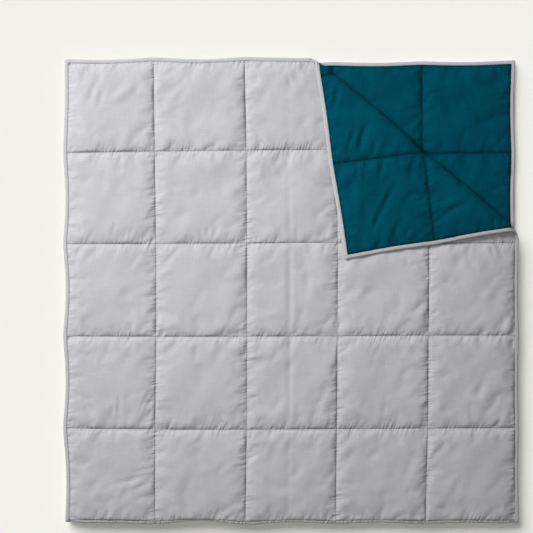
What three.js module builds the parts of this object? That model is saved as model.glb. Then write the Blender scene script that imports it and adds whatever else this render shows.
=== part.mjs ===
// A box-stitched comforter, folded once in half with its grey face outwards.
// The far right corner of the upper half is turned back, so its teal reverse shows.
// Lengths are millimetres. X runs across, Y runs from the fold to the loose edge, Z is up.
// The origin is on the surface that the comforter lies on, under its middle.
//
// The cloth is worked out flat first. A place on it is (u, v): u runs across from the left edge,
// and v runs along it from the last sewn line before the fold, positive on the upper half and
// negative on the lower half. w is the height over the middle of the filling, towards the grey face.

import * as THREE from 'three';

// Boxes and sewn lines
const COLUMNS = 5;
const ROWS = 5;                    // in each half
const BOX_WIDTH = 227.5;
const BOX_LENGTH = 231.6;
const LOWER_BOX_LENGTH = 232.4;
const LOWER_FIRST_BOX = 246;       // the box that goes round the fold is a little longer
const CLOTH_WIDTH = COLUMNS * BOX_WIDTH;
const UPPER_LENGTH = ROWS * BOX_LENGTH;
const LOWER_LENGTH = LOWER_FIRST_BOX + (ROWS - 1) * LOWER_BOX_LENGTH;
const LAST_LINE_Y = -574.5;        // where the last sewn line before the fold lies

// Filling: how far the cloth stands out at a sewn line and at a box's crown
const FACE_AT_LINE = 1.5;
const FACE_CROWN = 8.5;
const BACK_AT_LINE = 0.2;
const BACK_CROWN = 6.3;
const RISE_REACH = 12;             // how far from a sewn line the cloth takes to come up
const FOLD_RISE_REACH = 22;        // and how far next to the fold, where it is pulled round
const CROWN_UNEVEN = 0.07;

// Cloth and binding
const PANEL_GAP = 0.4;
const PANEL_THICK = 1.2;
const BINDING_WIDTH = 9.6;
const BINDING_THICK = 1.2;
const BINDING_EDGE = 2.2;          // how far in from the outline its rounded edge reaches
const BINDING_WALL = 1.8;
const BINDING_GAP = 0.5;
const CLOTH_EDGE = 2.3;            // the cut edge of the cloth, inside the binding
const BOX_START = BINDING_WIDTH + BINDING_GAP;  // where the boxes at the outline begin to rise

// How the two halves lie
const LOWER_Z = 7.5;
const LAYER_RISE = 17.6;
const UPPER_Z = LOWER_Z + LAYER_RISE;
const FLOOR_SPREAD = 2.2;           // lying on the surface, a box presses out flat this much sooner
const LOWER_EDGE_SAG = 4;
const UPPER_EDGE_SAG = 6;
const SAG_REACH = 45;
const FOLD_ARC = 27.6;             // cloth that goes round the fold
const FOLD_START = 1.9;            // v where the fold begins, just before the last sewn line
const FOLD_TIGHT = 0.45;           // how much of the crown is left round the fold
const SCALLOP = 2.6;               // how far a box draws the outline in between two sewn lines
const SCALLOP_POWER = 0.42;        // under 1 the outline is straight between its corners

// Where each crossing of sewn lines has drifted, from the loose edge down to the fold
const DRIFT_ACROSS = [
  [0.8, -3.8, -3.8, -6.2, -8, 9],
  [-3, -0.8, 0.5, -3.8, -4, 5],
  [-3, 2, 1.8, 1.2, 2, 0.2],
  [-3, 2.5, 1.8, 0.5, 0.8, 0.2],
  [-3, 0.2, 1.2, -1.2, -1.2, 0.2],
  [2.5, 0, -1.8, -3.8, -6.2, 0.8],
];
const DRIFT_ALONG = [
  [-3, 2, 2.8, 1.5, 4, 2],
  [-5.8, -2.2, 0.2, 2.5, 6.2, 10],
  [-2, -1.5, -0.2, 1.5, 0.5, 0.5],
  [-1, -1.8, -1.5, -0.2, 1, 1.2],
  [0.5, -1.8, -2.5, -1, 0.2, 1.5],
  [2.5, -0.8, -2, 0, 0, 0],
];
const LOWER_DRIFT_ACROSS = [6, 0, -5, -11, -13.5, -5];

// The turned-back corner rolls over a line across the upper half
const CREASE_START = new THREE.Vector2(43.8, 578);
const CREASE_END = new THREE.Vector2(570.3, 113.8);
const CREASE_RADIUS_START = 8;     // how far the roll stands out past the crease line
const CREASE_RADIUS_END = 18;
const CREASE_HEIGHT_START = 8;     // half the height of the roll, which is flatter than it is wide
const CREASE_HEIGHT_END = 11;
const CREASE_STEPS = 8;
const CORNER_LIFT = 14.3;          // the turned cloth's middle over the upper half's middle
const CORNER_EDGE_SAG = 3;
const CORNER_DROP_REACH = 140;     // how far the roll takes to come down to CORNER_LIFT
const CORNER_PRESS = 0.5;          // how much of the crown is left under the turned corner
const UNDER_CORNER_PRESS = 0.75;   // and how much in the boxes that carry it

// Where the solids have points across a box, as parts of its width
const BOX_STATIONS = [0.08, 0.5, 0.92];

const smoothstep = THREE.MathUtils.smoothstep;
const lerp = THREE.MathUtils.lerp;

// The sewn lines, in order, as places along u and v

function evenLines(count, pitch) {
  return Array.from({ length: count + 1 }, (_, i) => i * pitch);
}

const columnLines = evenLines(COLUMNS, BOX_WIDTH);
const upperRowLines = evenLines(ROWS, BOX_LENGTH);
const lowerRowLines = [0, ...evenLines(ROWS - 1, LOWER_BOX_LENGTH).map((d) => LOWER_FIRST_BOX + d)];

// The place in a box: its number, and how far across it from 0 to 1 between its sewn lines.
// A box at the outline begins just inside the binding.
function boxPlace(lines, at, boundAtStart) {
  const last = lines.length - 2;
  let box = 0;
  while (box < last && at > lines[box + 1]) {
    box += 1;
  }
  const start = lines[box] + (box === 0 && boundAtStart ? BOX_START : 0);
  const end = lines[box + 1] - (box === last ? BOX_START : 0);
  const fromStart = Math.max(at - start, 0);
  const fromEnd = Math.max(end - at, 0);
  return { box, fromStart, fromEnd, part: fromStart / (fromStart + fromEnd) };
}

function bow(part) {
  return Math.pow(4 * part * (1 - part), SCALLOP_POWER);
}

// From 0 at a sewn line to nearly 1 from three reaches away
function rise({ fromStart, fromEnd }, firstReach = RISE_REACH) {
  return (1 - Math.exp(-fromStart / firstReach)) * (1 - Math.exp(-fromEnd / RISE_REACH));
}

// How full the cloth is at (u, v), from 0 at a sewn line to 1 at a crown
function fullness(u, v) {
  const column = boxPlace(columnLines, u, true);
  const row = v >= 0 ? boxPlace(upperRowLines, v, false) : boxPlace(lowerRowLines, -v, false);
  const besideFold = v >= 0 && v < BOX_LENGTH;
  return rise(column) * rise(row, besideFold ? FOLD_RISE_REACH : RISE_REACH);
}

function unevenness(u, v) {
  return 1 + CROWN_UNEVEN * Math.sin(u / 71 + 1.3) * Math.cos(v / 97 + 0.4);
}

// How the cloth lies before the corner is turned

// A smooth curve through four values, at part 0 to 1 between the middle two
function curveThrough(before, from, to, after, part) {
  const slope = (to - before) / 2;
  const endSlope = (after - from) / 2;
  const rise = to - from;
  return from + slope * part
    + (3 * rise - 2 * slope - endSlope) * part ** 2
    + (slope + endSlope - 2 * rise) * part ** 3;
}

function alongTable(table, place) {
  const last = table.length - 1;
  const box = Math.min(Math.max(Math.floor(place), 0), last - 1);
  const pick = (i) => table[Math.min(Math.max(i, 0), last)];
  return curveThrough(pick(box - 1), pick(box), pick(box + 1), pick(box + 2), place - box);
}

function upperDrift(table, u, v) {
  const rowPlace = ROWS - v / BOX_LENGTH;
  return alongTable(table.map((row) => alongTable(row, u / BOX_WIDTH)), rowPlace);
}

function edgeDistance(u, v) {
  const loose = v >= 0 ? UPPER_LENGTH - v : LOWER_LENGTH + v;
  return Math.min(u, CLOTH_WIDTH - u, loose);
}

// The outline is drawn in between sewn lines, and the pull fades out across the box
function scallop(u, v) {
  const row = v >= 0 ? boxPlace(upperRowLines, v, false) : boxPlace(lowerRowLines, -v, false);
  const column = boxPlace(columnLines, u, true);
  const fade = (distance, box) => Math.max(0, 1 - distance / box);
  const sideways = SCALLOP * bow(row.part)
    * (fade(u, BOX_WIDTH) - fade(CLOTH_WIDTH - u, BOX_WIDTH));
  const length = v >= 0 ? UPPER_LENGTH : LOWER_LENGTH;
  const endways = -SCALLOP * bow(column.part) * fade(length - Math.abs(v), BOX_LENGTH);
  return { sideways, endways };
}

function upperSpot(u, v) {
  const draw = scallop(u, v);
  return {
    x: u - CLOTH_WIDTH / 2 + upperDrift(DRIFT_ACROSS, u, v) + draw.sideways,
    y: LAST_LINE_Y + v + upperDrift(DRIFT_ALONG, u, v) + draw.endways,
  };
}

function lowerSpot(u, v) {
  const draw = scallop(u, v);
  const away = smoothstep(-v, 0, 2 * LOWER_BOX_LENGTH);
  const across = lerp(upperDrift(DRIFT_ACROSS, u, 0), alongTable(LOWER_DRIFT_ACROSS, u / BOX_WIDTH), away);
  const pastFold = -v - (FOLD_ARC - FOLD_START);
  return {
    x: u - CLOTH_WIDTH / 2 + across + draw.sideways,
    y: LAST_LINE_Y + FOLD_START + pastFold + upperDrift(DRIFT_ALONG, u, 0) + draw.endways,
  };
}

function sag(u, v, amount) {
  return amount * Math.exp(-((edgeDistance(u, v) / SAG_REACH) ** 2));
}

// The middle of the filling at (u, v), and the way the grey face looks there
function layFlat(u, v, spot) {
  if (v >= FOLD_START) {
    return {
      at: new THREE.Vector3(spot.x, spot.y, UPPER_Z - sag(u, v, UPPER_EDGE_SAG)),
      face: new THREE.Vector3(0, 0, 1),
    };
  }
  const foldEnd = FOLD_START - FOLD_ARC;
  if (v <= foldEnd) {
    return {
      at: new THREE.Vector3(spot.x, spot.y, LOWER_Z - sag(u, v, LOWER_EDGE_SAG)),
      face: new THREE.Vector3(0, 0, -1),
    };
  }
  const turn = Math.PI * (FOLD_START - v) / FOLD_ARC;
  const top = UPPER_Z - sag(u, v, UPPER_EDGE_SAG);
  const bottom = LOWER_Z - sag(u, v, LOWER_EDGE_SAG);
  const radius = (top - bottom) / 2;
  const start = upperSpot(u, FOLD_START);
  return {
    at: new THREE.Vector3(
      start.x,
      start.y - radius * Math.sin(turn),
      (top + bottom) / 2 + radius * Math.cos(turn),
    ),
    face: new THREE.Vector3(0, -Math.sin(turn), Math.cos(turn)),
  };
}

// The turned-back corner

const creaseAlong = CREASE_END.clone().sub(CREASE_START);
const CREASE_LENGTH = creaseAlong.length();
creaseAlong.divideScalar(CREASE_LENGTH);
const creaseAcross = new THREE.Vector2(-creaseAlong.y, creaseAlong.x);  // towards the corner

function creaseRadius(along) {
  return lerp(CREASE_RADIUS_START, CREASE_RADIUS_END, along / CREASE_LENGTH);
}

function creaseHeight(along) {
  return lerp(CREASE_HEIGHT_START, CREASE_HEIGHT_END, along / CREASE_LENGTH);
}

function creasePlace(spot) {
  const from = new THREE.Vector2(spot.x, spot.y).sub(CREASE_START);
  return { along: from.dot(creaseAlong), across: from.dot(creaseAcross) };
}

function creasePoint(along, across, z) {
  const flat = CREASE_START.clone()
    .addScaledVector(creaseAlong, along)
    .addScaledVector(creaseAcross, across);
  return new THREE.Vector3(flat.x, flat.y, z);
}

// Roll cloth that lies past the crease up and over, onto the upper half
function turnBack(u, v, laid, spot) {
  const { along, across } = creasePlace(spot);
  if (across <= 0) {
    return laid;
  }
  const radius = creaseRadius(along);
  const height = creaseHeight(along);
  const turn = across / radius;
  if (turn < Math.PI) {
    const inwards = -height * Math.sin(turn);
    const upwards = radius * Math.cos(turn);
    return {
      at: creasePoint(along, radius * Math.sin(turn), laid.at.z + height * (1 - Math.cos(turn))),
      face: new THREE.Vector3(creaseAcross.x * inwards, creaseAcross.y * inwards, upwards).normalize(),
    };
  }
  const past = across - Math.PI * radius;
  const rolled = laid.at.z + 2 * height;
  const lying = UPPER_Z + CORNER_LIFT - sag(u, v, CORNER_EDGE_SAG);
  const z = lerp(rolled, lying, smoothstep(past, 0, CORNER_DROP_REACH));
  return { at: creasePoint(along, -past, z), face: new THREE.Vector3(0, 0, -1) };
}

// How much of its crown the grey face keeps where cloth presses on cloth
function pressing(v, spot) {
  if (v < FOLD_START) {
    return v > FOLD_START - FOLD_ARC ? FOLD_TIGHT : 1;
  }
  const { along, across } = creasePlace(spot);
  if (across > 0) {
    return CORNER_PRESS;
  }
  const turned = creasePoint(along, Math.PI * creaseRadius(along) - across, 0);
  const inside = Math.min(
    CLOTH_WIDTH / 2 - turned.x,
    LAST_LINE_Y + UPPER_LENGTH - turned.y,
  );
  const carrying = lerp(1, UNDER_CORNER_PRESS, smoothstep(inside, -40, 0));
  return lerp(carrying, CORNER_PRESS, smoothstep(across, -30, 0));
}

// A point of the folded comforter from its place on the flat cloth
function place(point, w) {
  let laid = layFlat(point.u, point.v, point);
  if (point.v >= FOLD_START) {
    laid = turnBack(point.u, point.v, laid, point);
  }
  const at = laid.at.addScaledVector(laid.face, w);
  at.z = Math.max(at.z, 0);
  return at;
}

function faceHeight(point) {
  const full = fullness(point.u, point.v);
  const onFloor = point.v < FOLD_START - FOLD_ARC;
  if (onFloor) {
    return FACE_AT_LINE + FACE_CROWN * Math.min(1, FLOOR_SPREAD * full);
  }
  return FACE_AT_LINE + FACE_CROWN * full * unevenness(point.u, point.v) * pressing(point.v, point);
}

function backHeight(point) {
  return -BACK_AT_LINE - BACK_CROWN * fullness(point.u, point.v);
}

// Flat cells of cloth, cut along the lines where it rolls over the crease

function flatPoint(u, v) {
  const spot = v >= FOLD_START ? upperSpot(u, v) : lowerSpot(u, v);
  return { u, v, x: spot.x, y: spot.y };
}

function cellsOf(us, vs, keep = () => true) {
  const cells = [];
  for (let i = 0; i + 1 < us.length; i += 1) {
    for (let j = 0; j + 1 < vs.length; j += 1) {
      if (keep((us[i] + us[i + 1]) / 2, (vs[j] + vs[j + 1]) / 2)) {
        cells.push([
          flatPoint(us[i], vs[j]),
          flatPoint(us[i + 1], vs[j]),
          flatPoint(us[i + 1], vs[j + 1]),
          flatPoint(us[i], vs[j + 1]),
        ]);
      }
    }
  }
  return cells;
}

const NEAR_LINE = 0.8;  // a corner this near to a cutting line counts as on it

function offLine(point, turn) {
  const { along, across } = creasePlace(point);
  const off = across - turn * creaseRadius(along);
  return Math.abs(off) < NEAR_LINE ? 0 : off;
}

function between(a, b, part) {
  return {
    u: lerp(a.u, b.u, part),
    v: lerp(a.v, b.v, part),
    x: lerp(a.x, b.x, part),
    y: lerp(a.y, b.y, part),
  };
}

// Cut one cell in two where the cloth has turned by this much over the crease
function cutCell(cell, turn) {
  const offs = cell.map((point) => offLine(point, turn));
  if (Math.min(...offs) >= 0 || Math.max(...offs) <= 0) {
    return [cell];
  }
  const near = [];
  const far = [];
  cell.forEach((point, i) => {
    const next = (i + 1) % cell.length;
    if (offs[i] <= 0) {
      near.push(point);
    }
    if (offs[i] >= 0) {
      far.push(point);
    }
    if (offs[i] * offs[next] < 0) {
      const cut = between(point, cell[next], offs[i] / (offs[i] - offs[next]));
      near.push(cut);
      far.push(cut);
    }
  });
  return [near, far];
}

function cutAtCrease(cells) {
  let cut = cells;
  for (let step = 0; step <= CREASE_STEPS; step += 1) {
    const turn = Math.PI * step / CREASE_STEPS;
    cut = cut.flatMap((cell) => {
      const onUpper = cell.every((point) => point.v >= FOLD_START);
      return onUpper ? cutCell(cell, turn) : [cell];
    });
  }
  return cut;
}

// Closed solids from cells: skins over and under them, and walls along their outlines

function pointKey(point) {
  return `${point.u.toFixed(4)},${point.v.toFixed(4)}`;
}

// The edges that only one cell has, each in that cell's own direction
function outlineEdges(cells) {
  const edges = new Map();
  for (const cell of cells) {
    cell.forEach((point, i) => {
      const next = cell[(i + 1) % cell.length];
      const forward = `${pointKey(point)}>${pointKey(next)}`;
      const backward = `${pointKey(next)}>${pointKey(point)}`;
      if (edges.has(backward)) {
        edges.delete(backward);
      } else {
        edges.set(forward, [point, next]);
      }
    });
  }
  return [...edges.values()];
}

class Solid {
  constructor() {
    this.positions = [];
  }

  triangle(a, b, c) {
    for (const corner of [a, b, c]) {
      this.positions.push(corner.x, corner.y, corner.z);
    }
  }

  // height gives w for a flat point; side is 1 for a skin that looks towards the grey face
  skin(cells, height, side) {
    for (const cell of cells) {
      const corners = cell.map((point) => place(point, height(point)));
      for (let i = 1; i + 1 < corners.length; i += 1) {
        if (side > 0) {
          this.triangle(corners[0], corners[i], corners[i + 1]);
        } else {
          this.triangle(corners[0], corners[i + 1], corners[i]);
        }
      }
    }
  }

  // A wall along edges, from its upper to its lower height; side is -1 for one that looks inwards
  wall(edges, upper, lower, side = 1) {
    for (const [from, to] of edges) {
      const [start, end] = side > 0 ? [from, to] : [to, from];
      const corners = [
        place(end, upper(end)),
        place(start, upper(start)),
        place(start, lower(start)),
        place(end, lower(end)),
      ];
      this.triangle(corners[0], corners[1], corners[2]);
      this.triangle(corners[0], corners[2], corners[3]);
    }
  }

  mesh(name, colour, roughness) {
    const geometry = new THREE.BufferGeometry();
    geometry.setAttribute('position', new THREE.Float32BufferAttribute(this.positions, 3));
    geometry.computeVertexNormals();
    const material = new THREE.MeshStandardMaterial({ color: colour, roughness, metalness: 0 });
    const mesh = new THREE.Mesh(geometry, material);
    mesh.name = name;
    return mesh;
  }
}

// Where the flat cells have their edges

function stationsBetween(lines, firstStart, lastEnd) {
  const stations = [];
  for (let box = 0; box + 1 < lines.length; box += 1) {
    const start = box === 0 ? firstStart : lines[box];
    const end = box === lines.length - 2 ? lastEnd : lines[box + 1];
    if (box > 0) {
      stations.push(start);
    }
    stations.push(...BOX_STATIONS.map((part) => lerp(start, end, part)));
  }
  return stations;
}

// The stations of each direction, without the ones near the outline
const acrossStations = stationsBetween(columnLines, BOX_START, CLOTH_WIDTH - BOX_START);
const upperStations = stationsBetween(upperRowLines, 0, UPPER_LENGTH - BOX_START);
const lowerStations = stationsBetween(lowerRowLines, FOLD_ARC - FOLD_START, LOWER_LENGTH - BOX_START)
  .map((d) => -d)
  .reverse();

const FOLD_CUTS = 4;
const foldStations = [0, FOLD_START];
for (let cut = 1; cut <= FOLD_CUTS; cut += 1) {
  foldStations.push(FOLD_START - FOLD_ARC * cut / FOLD_CUTS);
}
foldStations.sort((a, b) => a - b);

function rim(low, high, distances) {
  return {
    start: distances.map((d) => low + d),
    end: distances.map((d) => high - d).reverse(),
  };
}

// The flat cells between the outline distances given, kept where the rule says
function clothCells(distances, keep) {
  const across = rim(0, CLOTH_WIDTH, distances);
  const along = rim(-LOWER_LENGTH, UPPER_LENGTH, distances);
  const us = [...across.start, ...acrossStations, ...across.end];
  const vs = [...along.start, ...lowerStations, ...foldStations, ...upperStations, ...along.end];
  return cutAtCrease(cellsOf(us, vs, keep));
}

// The pieces

// The grey face cloth with the filling that it holds, as one filled solid
function quiltedBody() {
  const cells = clothCells([CLOTH_EDGE, BOX_START]);
  const solid = new Solid();
  solid.skin(cells, faceHeight, 1);
  solid.skin(cells, backHeight, -1);
  solid.wall(outlineEdges(cells), faceHeight, backHeight);
  return solid.mesh('quilted_body', '#b4b4b8', 0.9);
}

// The teal reverse, a sheet of its own against the filling
function backPanel() {
  const cells = clothCells([CLOTH_EDGE, BOX_START]);
  const upper = (point) => backHeight(point) - PANEL_GAP;
  const lower = (point) => upper(point) - PANEL_THICK;
  const solid = new Solid();
  solid.skin(cells, upper, 1);
  solid.skin(cells, lower, -1);
  solid.wall(outlineEdges(cells), upper, lower);
  return solid.mesh('back_panel', '#0a5262', 0.9);
}

// One strip folded over the cut edge all the way round
function binding() {
  const inRing = (u, v) => edgeDistance(u, v) < BINDING_WIDTH;
  const outer = clothCells([0, BINDING_EDGE, BINDING_WIDTH], inRing);
  const inner = clothCells([BINDING_WALL, BINDING_WIDTH], inRing);
  const faceInside = FACE_AT_LINE + BINDING_GAP;
  const backInside = -BACK_AT_LINE - PANEL_GAP - PANEL_THICK - BINDING_GAP;
  const rounded = (point, height) => {
    const atOutline = edgeDistance(point.u, point.v) < BINDING_EDGE / 2;
    return atOutline ? height * 0.45 : height;
  };
  const heights = {
    faceOut: (point) => rounded(point, faceInside + BINDING_THICK),
    faceIn: () => faceInside,
    backIn: () => backInside,
    backOut: (point) => rounded(point, backInside - BINDING_THICK),
  };
  const isInner = ([from, to]) => edgeDistance((from.u + to.u) / 2, (from.v + to.v) / 2)
    > BINDING_WIDTH / 2;
  const outerEdges = outlineEdges(outer);
  const innerEdges = outlineEdges(inner);
  const solid = new Solid();
  solid.skin(outer, heights.faceOut, 1);
  solid.skin(outer, heights.backOut, -1);
  solid.skin(inner, heights.faceIn, -1);
  solid.skin(inner, heights.backIn, 1);
  solid.wall(outerEdges.filter((edge) => !isInner(edge)), heights.faceOut, heights.backOut);
  solid.wall(innerEdges.filter((edge) => !isInner(edge)), heights.faceIn, heights.backIn, -1);
  solid.wall(outerEdges.filter(isInner), heights.faceOut, heights.faceIn);
  solid.wall(outerEdges.filter(isInner), heights.backIn, heights.backOut);
  return solid.mesh('binding', '#a6a6aa', 0.9);
}

const comforter = new THREE.Group();
comforter.add(quiltedBody());
comforter.add(backPanel());
comforter.add(binding());

export default comforter;
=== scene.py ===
# %% [markdown]
# # A comforter, folded once, with one corner turned back
# A box-stitched comforter lies on a pale floor and is seen from straight above. It is one piece of
# bedding: a grey cloth and a teal cloth with filling between them, sewn through in boxes, with a
# narrow grey binding over the raw edges. It is folded in half with the grey side outwards, and one
# corner of the upper half is turned back, so that the teal side shows.
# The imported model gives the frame. Every piece made here lies where its solid lies.

# %% Load the frame
import math

import bpy
import numpy as np
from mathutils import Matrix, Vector


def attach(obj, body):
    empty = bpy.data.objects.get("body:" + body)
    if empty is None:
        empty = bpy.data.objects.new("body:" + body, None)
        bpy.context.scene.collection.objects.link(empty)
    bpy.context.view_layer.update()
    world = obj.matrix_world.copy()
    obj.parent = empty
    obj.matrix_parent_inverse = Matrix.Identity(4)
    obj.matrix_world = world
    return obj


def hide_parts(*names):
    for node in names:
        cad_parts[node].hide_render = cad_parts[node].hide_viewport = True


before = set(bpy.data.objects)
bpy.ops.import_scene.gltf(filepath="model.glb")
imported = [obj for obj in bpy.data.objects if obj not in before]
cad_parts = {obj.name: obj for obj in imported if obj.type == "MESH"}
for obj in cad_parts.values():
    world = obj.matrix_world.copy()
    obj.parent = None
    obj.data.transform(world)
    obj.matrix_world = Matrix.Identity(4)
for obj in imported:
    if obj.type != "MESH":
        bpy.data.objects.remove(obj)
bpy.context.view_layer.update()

print("nodes in the frame:", sorted(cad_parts))

# %% [markdown]
# ## Sizes
# The cloth is worked out flat, in millimetres, as a quilter would chalk it. A place on it is
# (u, v): u runs across from the left edge. v runs along it from the last sewn line before the fold,
# positive on the upper half and negative on the lower half. w is the height over the middle of the
# filling, towards the grey side. The solids have the same sizes, but for a few millimetres in how
# far the outline bows and how the edges sag.

# %% Boxes, sewn lines and filling
MM = 0.001
COLUMNS = 5
ROWS = 5
BOX_WIDTH = 227.5
BOX_LENGTH = 231.6
LOWER_BOX_LENGTH = 232.4
LOWER_FIRST_BOX = 246.0      # the box that goes round the fold is a little longer
CLOTH_WIDTH = COLUMNS * BOX_WIDTH
UPPER_LENGTH = ROWS * BOX_LENGTH
LOWER_LENGTH = LOWER_FIRST_BOX + (ROWS - 1) * LOWER_BOX_LENGTH
LAST_LINE_Y = -574.5         # where the last sewn line before the fold lies

FACE_AT_LINE = 1.5
FACE_CROWN = 8.5
BACK_AT_LINE = 0.2
BACK_CROWN = 6.3
RISE_REACH = 12.0            # how far from a sewn line the cloth takes to come up to its crown
FOLD_RISE_REACH = 24.0       # and how far next to the fold, where it is pulled round
STITCH_REACH = 2.0           # the cloth dives down to the thread in the last few millimetres
STITCH_SHARE = 0.20
CROWN_UNEVEN = 0.07
HIDDEN_BACK_SHARE = 0.15     # how much of its crown the filling keeps on its hidden back
LEAST_FILLING = 0.5          # between its grey side and its back

PANEL_GAP = 0.4
PANEL_THICK = 1.2
BINDING_WIDTH = 9.6
CLOTH_EDGE = 2.3             # the cut edge of the cloth, inside the binding
BOX_START = BINDING_WIDTH

# %% How the halves and the turned corner lie
LOWER_Z = 7.5
UPPER_Z = 25.1
FLOOR_SPREAD = 2.2
LOWER_EDGE_SAG = 0.5
UPPER_EDGE_SAG = 4.0
SAG_REACH = 45.0
FOLD_ARC = 27.6
FOLD_START = 1.9
FOLD_TIGHT = 0.45
# How far each box draws the outline in between two sewn lines, from the left or from the fold
BOW_POWER = 1.5
LEFT_BOW = np.array([5.0, 6.5, 6.5, 6.0, 2.0])
RIGHT_BOW = np.array([1.5, 1.5, 1.5, 2.6, 2.6])
TOP_BOW = np.array([3.5, 5.5, 1.5, 1.5, 1.5])
LOWER_BOW = np.full(COLUMNS, 3.0)
FOLD_BOW = np.array([1.5, 5.0, 3.0, 2.0, 2.0])       # the same at the fold, box by box
FOLD_BOW_REACH = 60.0
FOLD_TUCK = np.array([0.1, 0.65, 0.4, 0.3, 0.25])    # how much of the fold rolls in there
LAST_LINE_PULL = 1.2         # the fold opens the last sewn line a little deeper
LAST_LINE_REACH = 3.0

DRIFT_ACROSS = np.array([
    [0.8, -3.8, -3.8, -6.2, -8, 9],
    [-3, -0.8, 0.5, -3.8, -4, 5],
    [-3, 2, 1.8, 1.2, 2, 0.2],
    [-3, 2.5, 1.8, 0.5, 0.8, 0.2],
    [-3, 0.2, 1.2, -1.2, -1.2, 0.2],
    [2.5, 0, -1.8, -3.8, -6.2, 0.8],
])
DRIFT_ALONG = np.array([
    [-3, 2, 2.8, 1.5, 4, 2],
    [-5.8, -2.2, 0.2, 2.5, 6.2, 10],
    [-2, -1.5, -0.2, 1.5, 0.5, 0.5],
    [-1, -1.8, -1.5, -0.2, 1, 1.2],
    [0.5, -1.8, -2.5, -1, 0.2, 1.5],
    [2.5, -0.8, -2, 0, 0, 0],
])
LOWER_DRIFT_ACROSS = np.array([[6, 0, -5, -11, -13.5, -5]])
LOWER_DRIFT_ALONG = np.array([[-1.8, -1.8, -1.8, -0.6, 1.2, 3.4]])

CREASE_START = np.array([43.8, 578.0])
CREASE_END = np.array([570.3, 113.8])
CREASE_RADIUS_START = 8.0    # how far the roll stands out past the crease line
CREASE_RADIUS_END = 18.0
CREASE_HEIGHT_START = 8.0    # half the height of the roll, which is flatter than it is wide
CREASE_HEIGHT_END = 11.0
CREASE_SLUMP = 4.5           # how far the roll sinks on its outer side
CREASE_SLUMP_REACH = 12.0
CORNER_LIFT = 14.3
CORNER_EDGE_SAG = 3.0
CORNER_DROP_REACH = 140.0
CORNER_PRESS = 0.5
CORNER_PRESS_REACH = 30.0
UNDER_CORNER_PRESS = 0.75
UNDER_CORNER_REACH = 40.0
ROLL_IN_REACH = 14.0         # the grey wrinkles fade out this far before the crease
FOLD_WRINKLE_SHARE = 0.3
print(f"folded: {CLOTH_WIDTH:.0f} mm across, {UPPER_LENGTH:.0f} mm from fold to loose edge")

# %% [markdown]
# ## From flat cloth to folded comforter
# Every piece is drawn on the flat cloth and then carried to its place by one function. Seams,
# binding and thread stay together that way, however the cloth is folded. The function works on
# whole arrays, so a hundred thousand points take a moment.

# %% Boxes and their crowns
COLUMN_LINES = BOX_WIDTH * np.arange(COLUMNS + 1)
UPPER_LINES = BOX_LENGTH * np.arange(ROWS + 1)
LOWER_LINES = np.concatenate([[0.0], LOWER_FIRST_BOX + LOWER_BOX_LENGTH * np.arange(ROWS)])
SEWN_U = COLUMN_LINES[1:-1]
SEWN_V = np.concatenate([UPPER_LINES[:-1], -LOWER_LINES[1:-1]])
# The same with the binding's inner edge, where the boxes at the outline start
SEAMS_U = np.array([BOX_START, *SEWN_U, CLOTH_WIDTH - BOX_START])
SEAMS_V = np.array([*UPPER_LINES[:-1], UPPER_LENGTH - BOX_START,
                    *-LOWER_LINES[1:-1], BOX_START - LOWER_LENGTH])


def off_line(at, lines):
    """How far each place is from the nearest of some lines."""
    return np.abs(at[:, None] - np.asarray(lines)).min(axis=1)


def box_of(lines, at):
    return np.clip(np.searchsorted(lines, at, side="left") - 1, 0, len(lines) - 2)


def box_ends(lines, at, bound_at_start):
    """How far a place is from the two ends of its box. A box at the outline starts at the binding."""
    box = box_of(lines, at)
    start = lines[box] + np.where((box == 0) & bound_at_start, BOX_START, 0.0)
    end = lines[box + 1] - np.where(box == len(lines) - 2, BOX_START, 0.0)
    return np.maximum(at - start, 0), np.maximum(end - at, 0)


def row_ends(v):
    upper = box_ends(UPPER_LINES, v, False)
    lower = box_ends(LOWER_LINES, -v, False)
    return tuple(np.where(v >= 0, up, down) for up, down in zip(upper, lower))


def from_line(distance, reach):
    """0 on a sewn line, steep right beside it, and nearly 1 from three reaches away."""
    soft = 1 - np.exp(-distance / reach)
    steep = 1 - np.exp(-distance / STITCH_REACH)
    return (1 - STITCH_SHARE) * soft + STITCH_SHARE * steep


def rise(ends, first_reach=RISE_REACH):
    return from_line(ends[0], first_reach) * from_line(ends[1], RISE_REACH)


def bow(ends):
    """0 at both ends and 1 in the middle, as the outline bows between two sewn lines."""
    part = ends[0] / (ends[0] + ends[1])
    return (4 * part * (1 - part)) ** BOW_POWER


def fullness(u, v):
    """0 at a sewn line and 1 at a crown."""
    beside_fold = (v >= 0) & (v < BOX_LENGTH)
    reach = np.where(beside_fold, FOLD_RISE_REACH, RISE_REACH)
    return rise(box_ends(COLUMN_LINES, u, True)) * rise(row_ends(v), reach)


def smooth(value, low, high):
    part = np.clip((value - low) / (high - low), 0, 1)
    return part * part * (3 - 2 * part)


def lerp(low, high, part):
    return low + (high - low) * part


def grid_of(us, vs):
    return np.meshgrid(us, vs, indexing="ij")


def rows_of(*grids):
    """Grids of numbers laid out with one row a point."""
    return np.stack(grids, axis=-1).reshape(-1, len(grids))


# %% Where the crossings of sewn lines have drifted
def curve_weights(place, count):
    """Which four table entries a smooth curve reads at each place, and how much of each."""
    box = np.clip(np.floor(place).astype(int), 0, count - 2)
    p = place - box
    picks = [np.clip(box + step, 0, count - 1) for step in (-1, 0, 1, 2)]
    shares = [
        -p / 2 + p**2 - p**3 / 2,
        1 - 2.5 * p**2 + 1.5 * p**3,
        p / 2 + 2 * p**2 - 1.5 * p**3,
        -p**2 / 2 + p**3 / 2,
    ]
    return list(zip(picks, shares))


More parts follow.
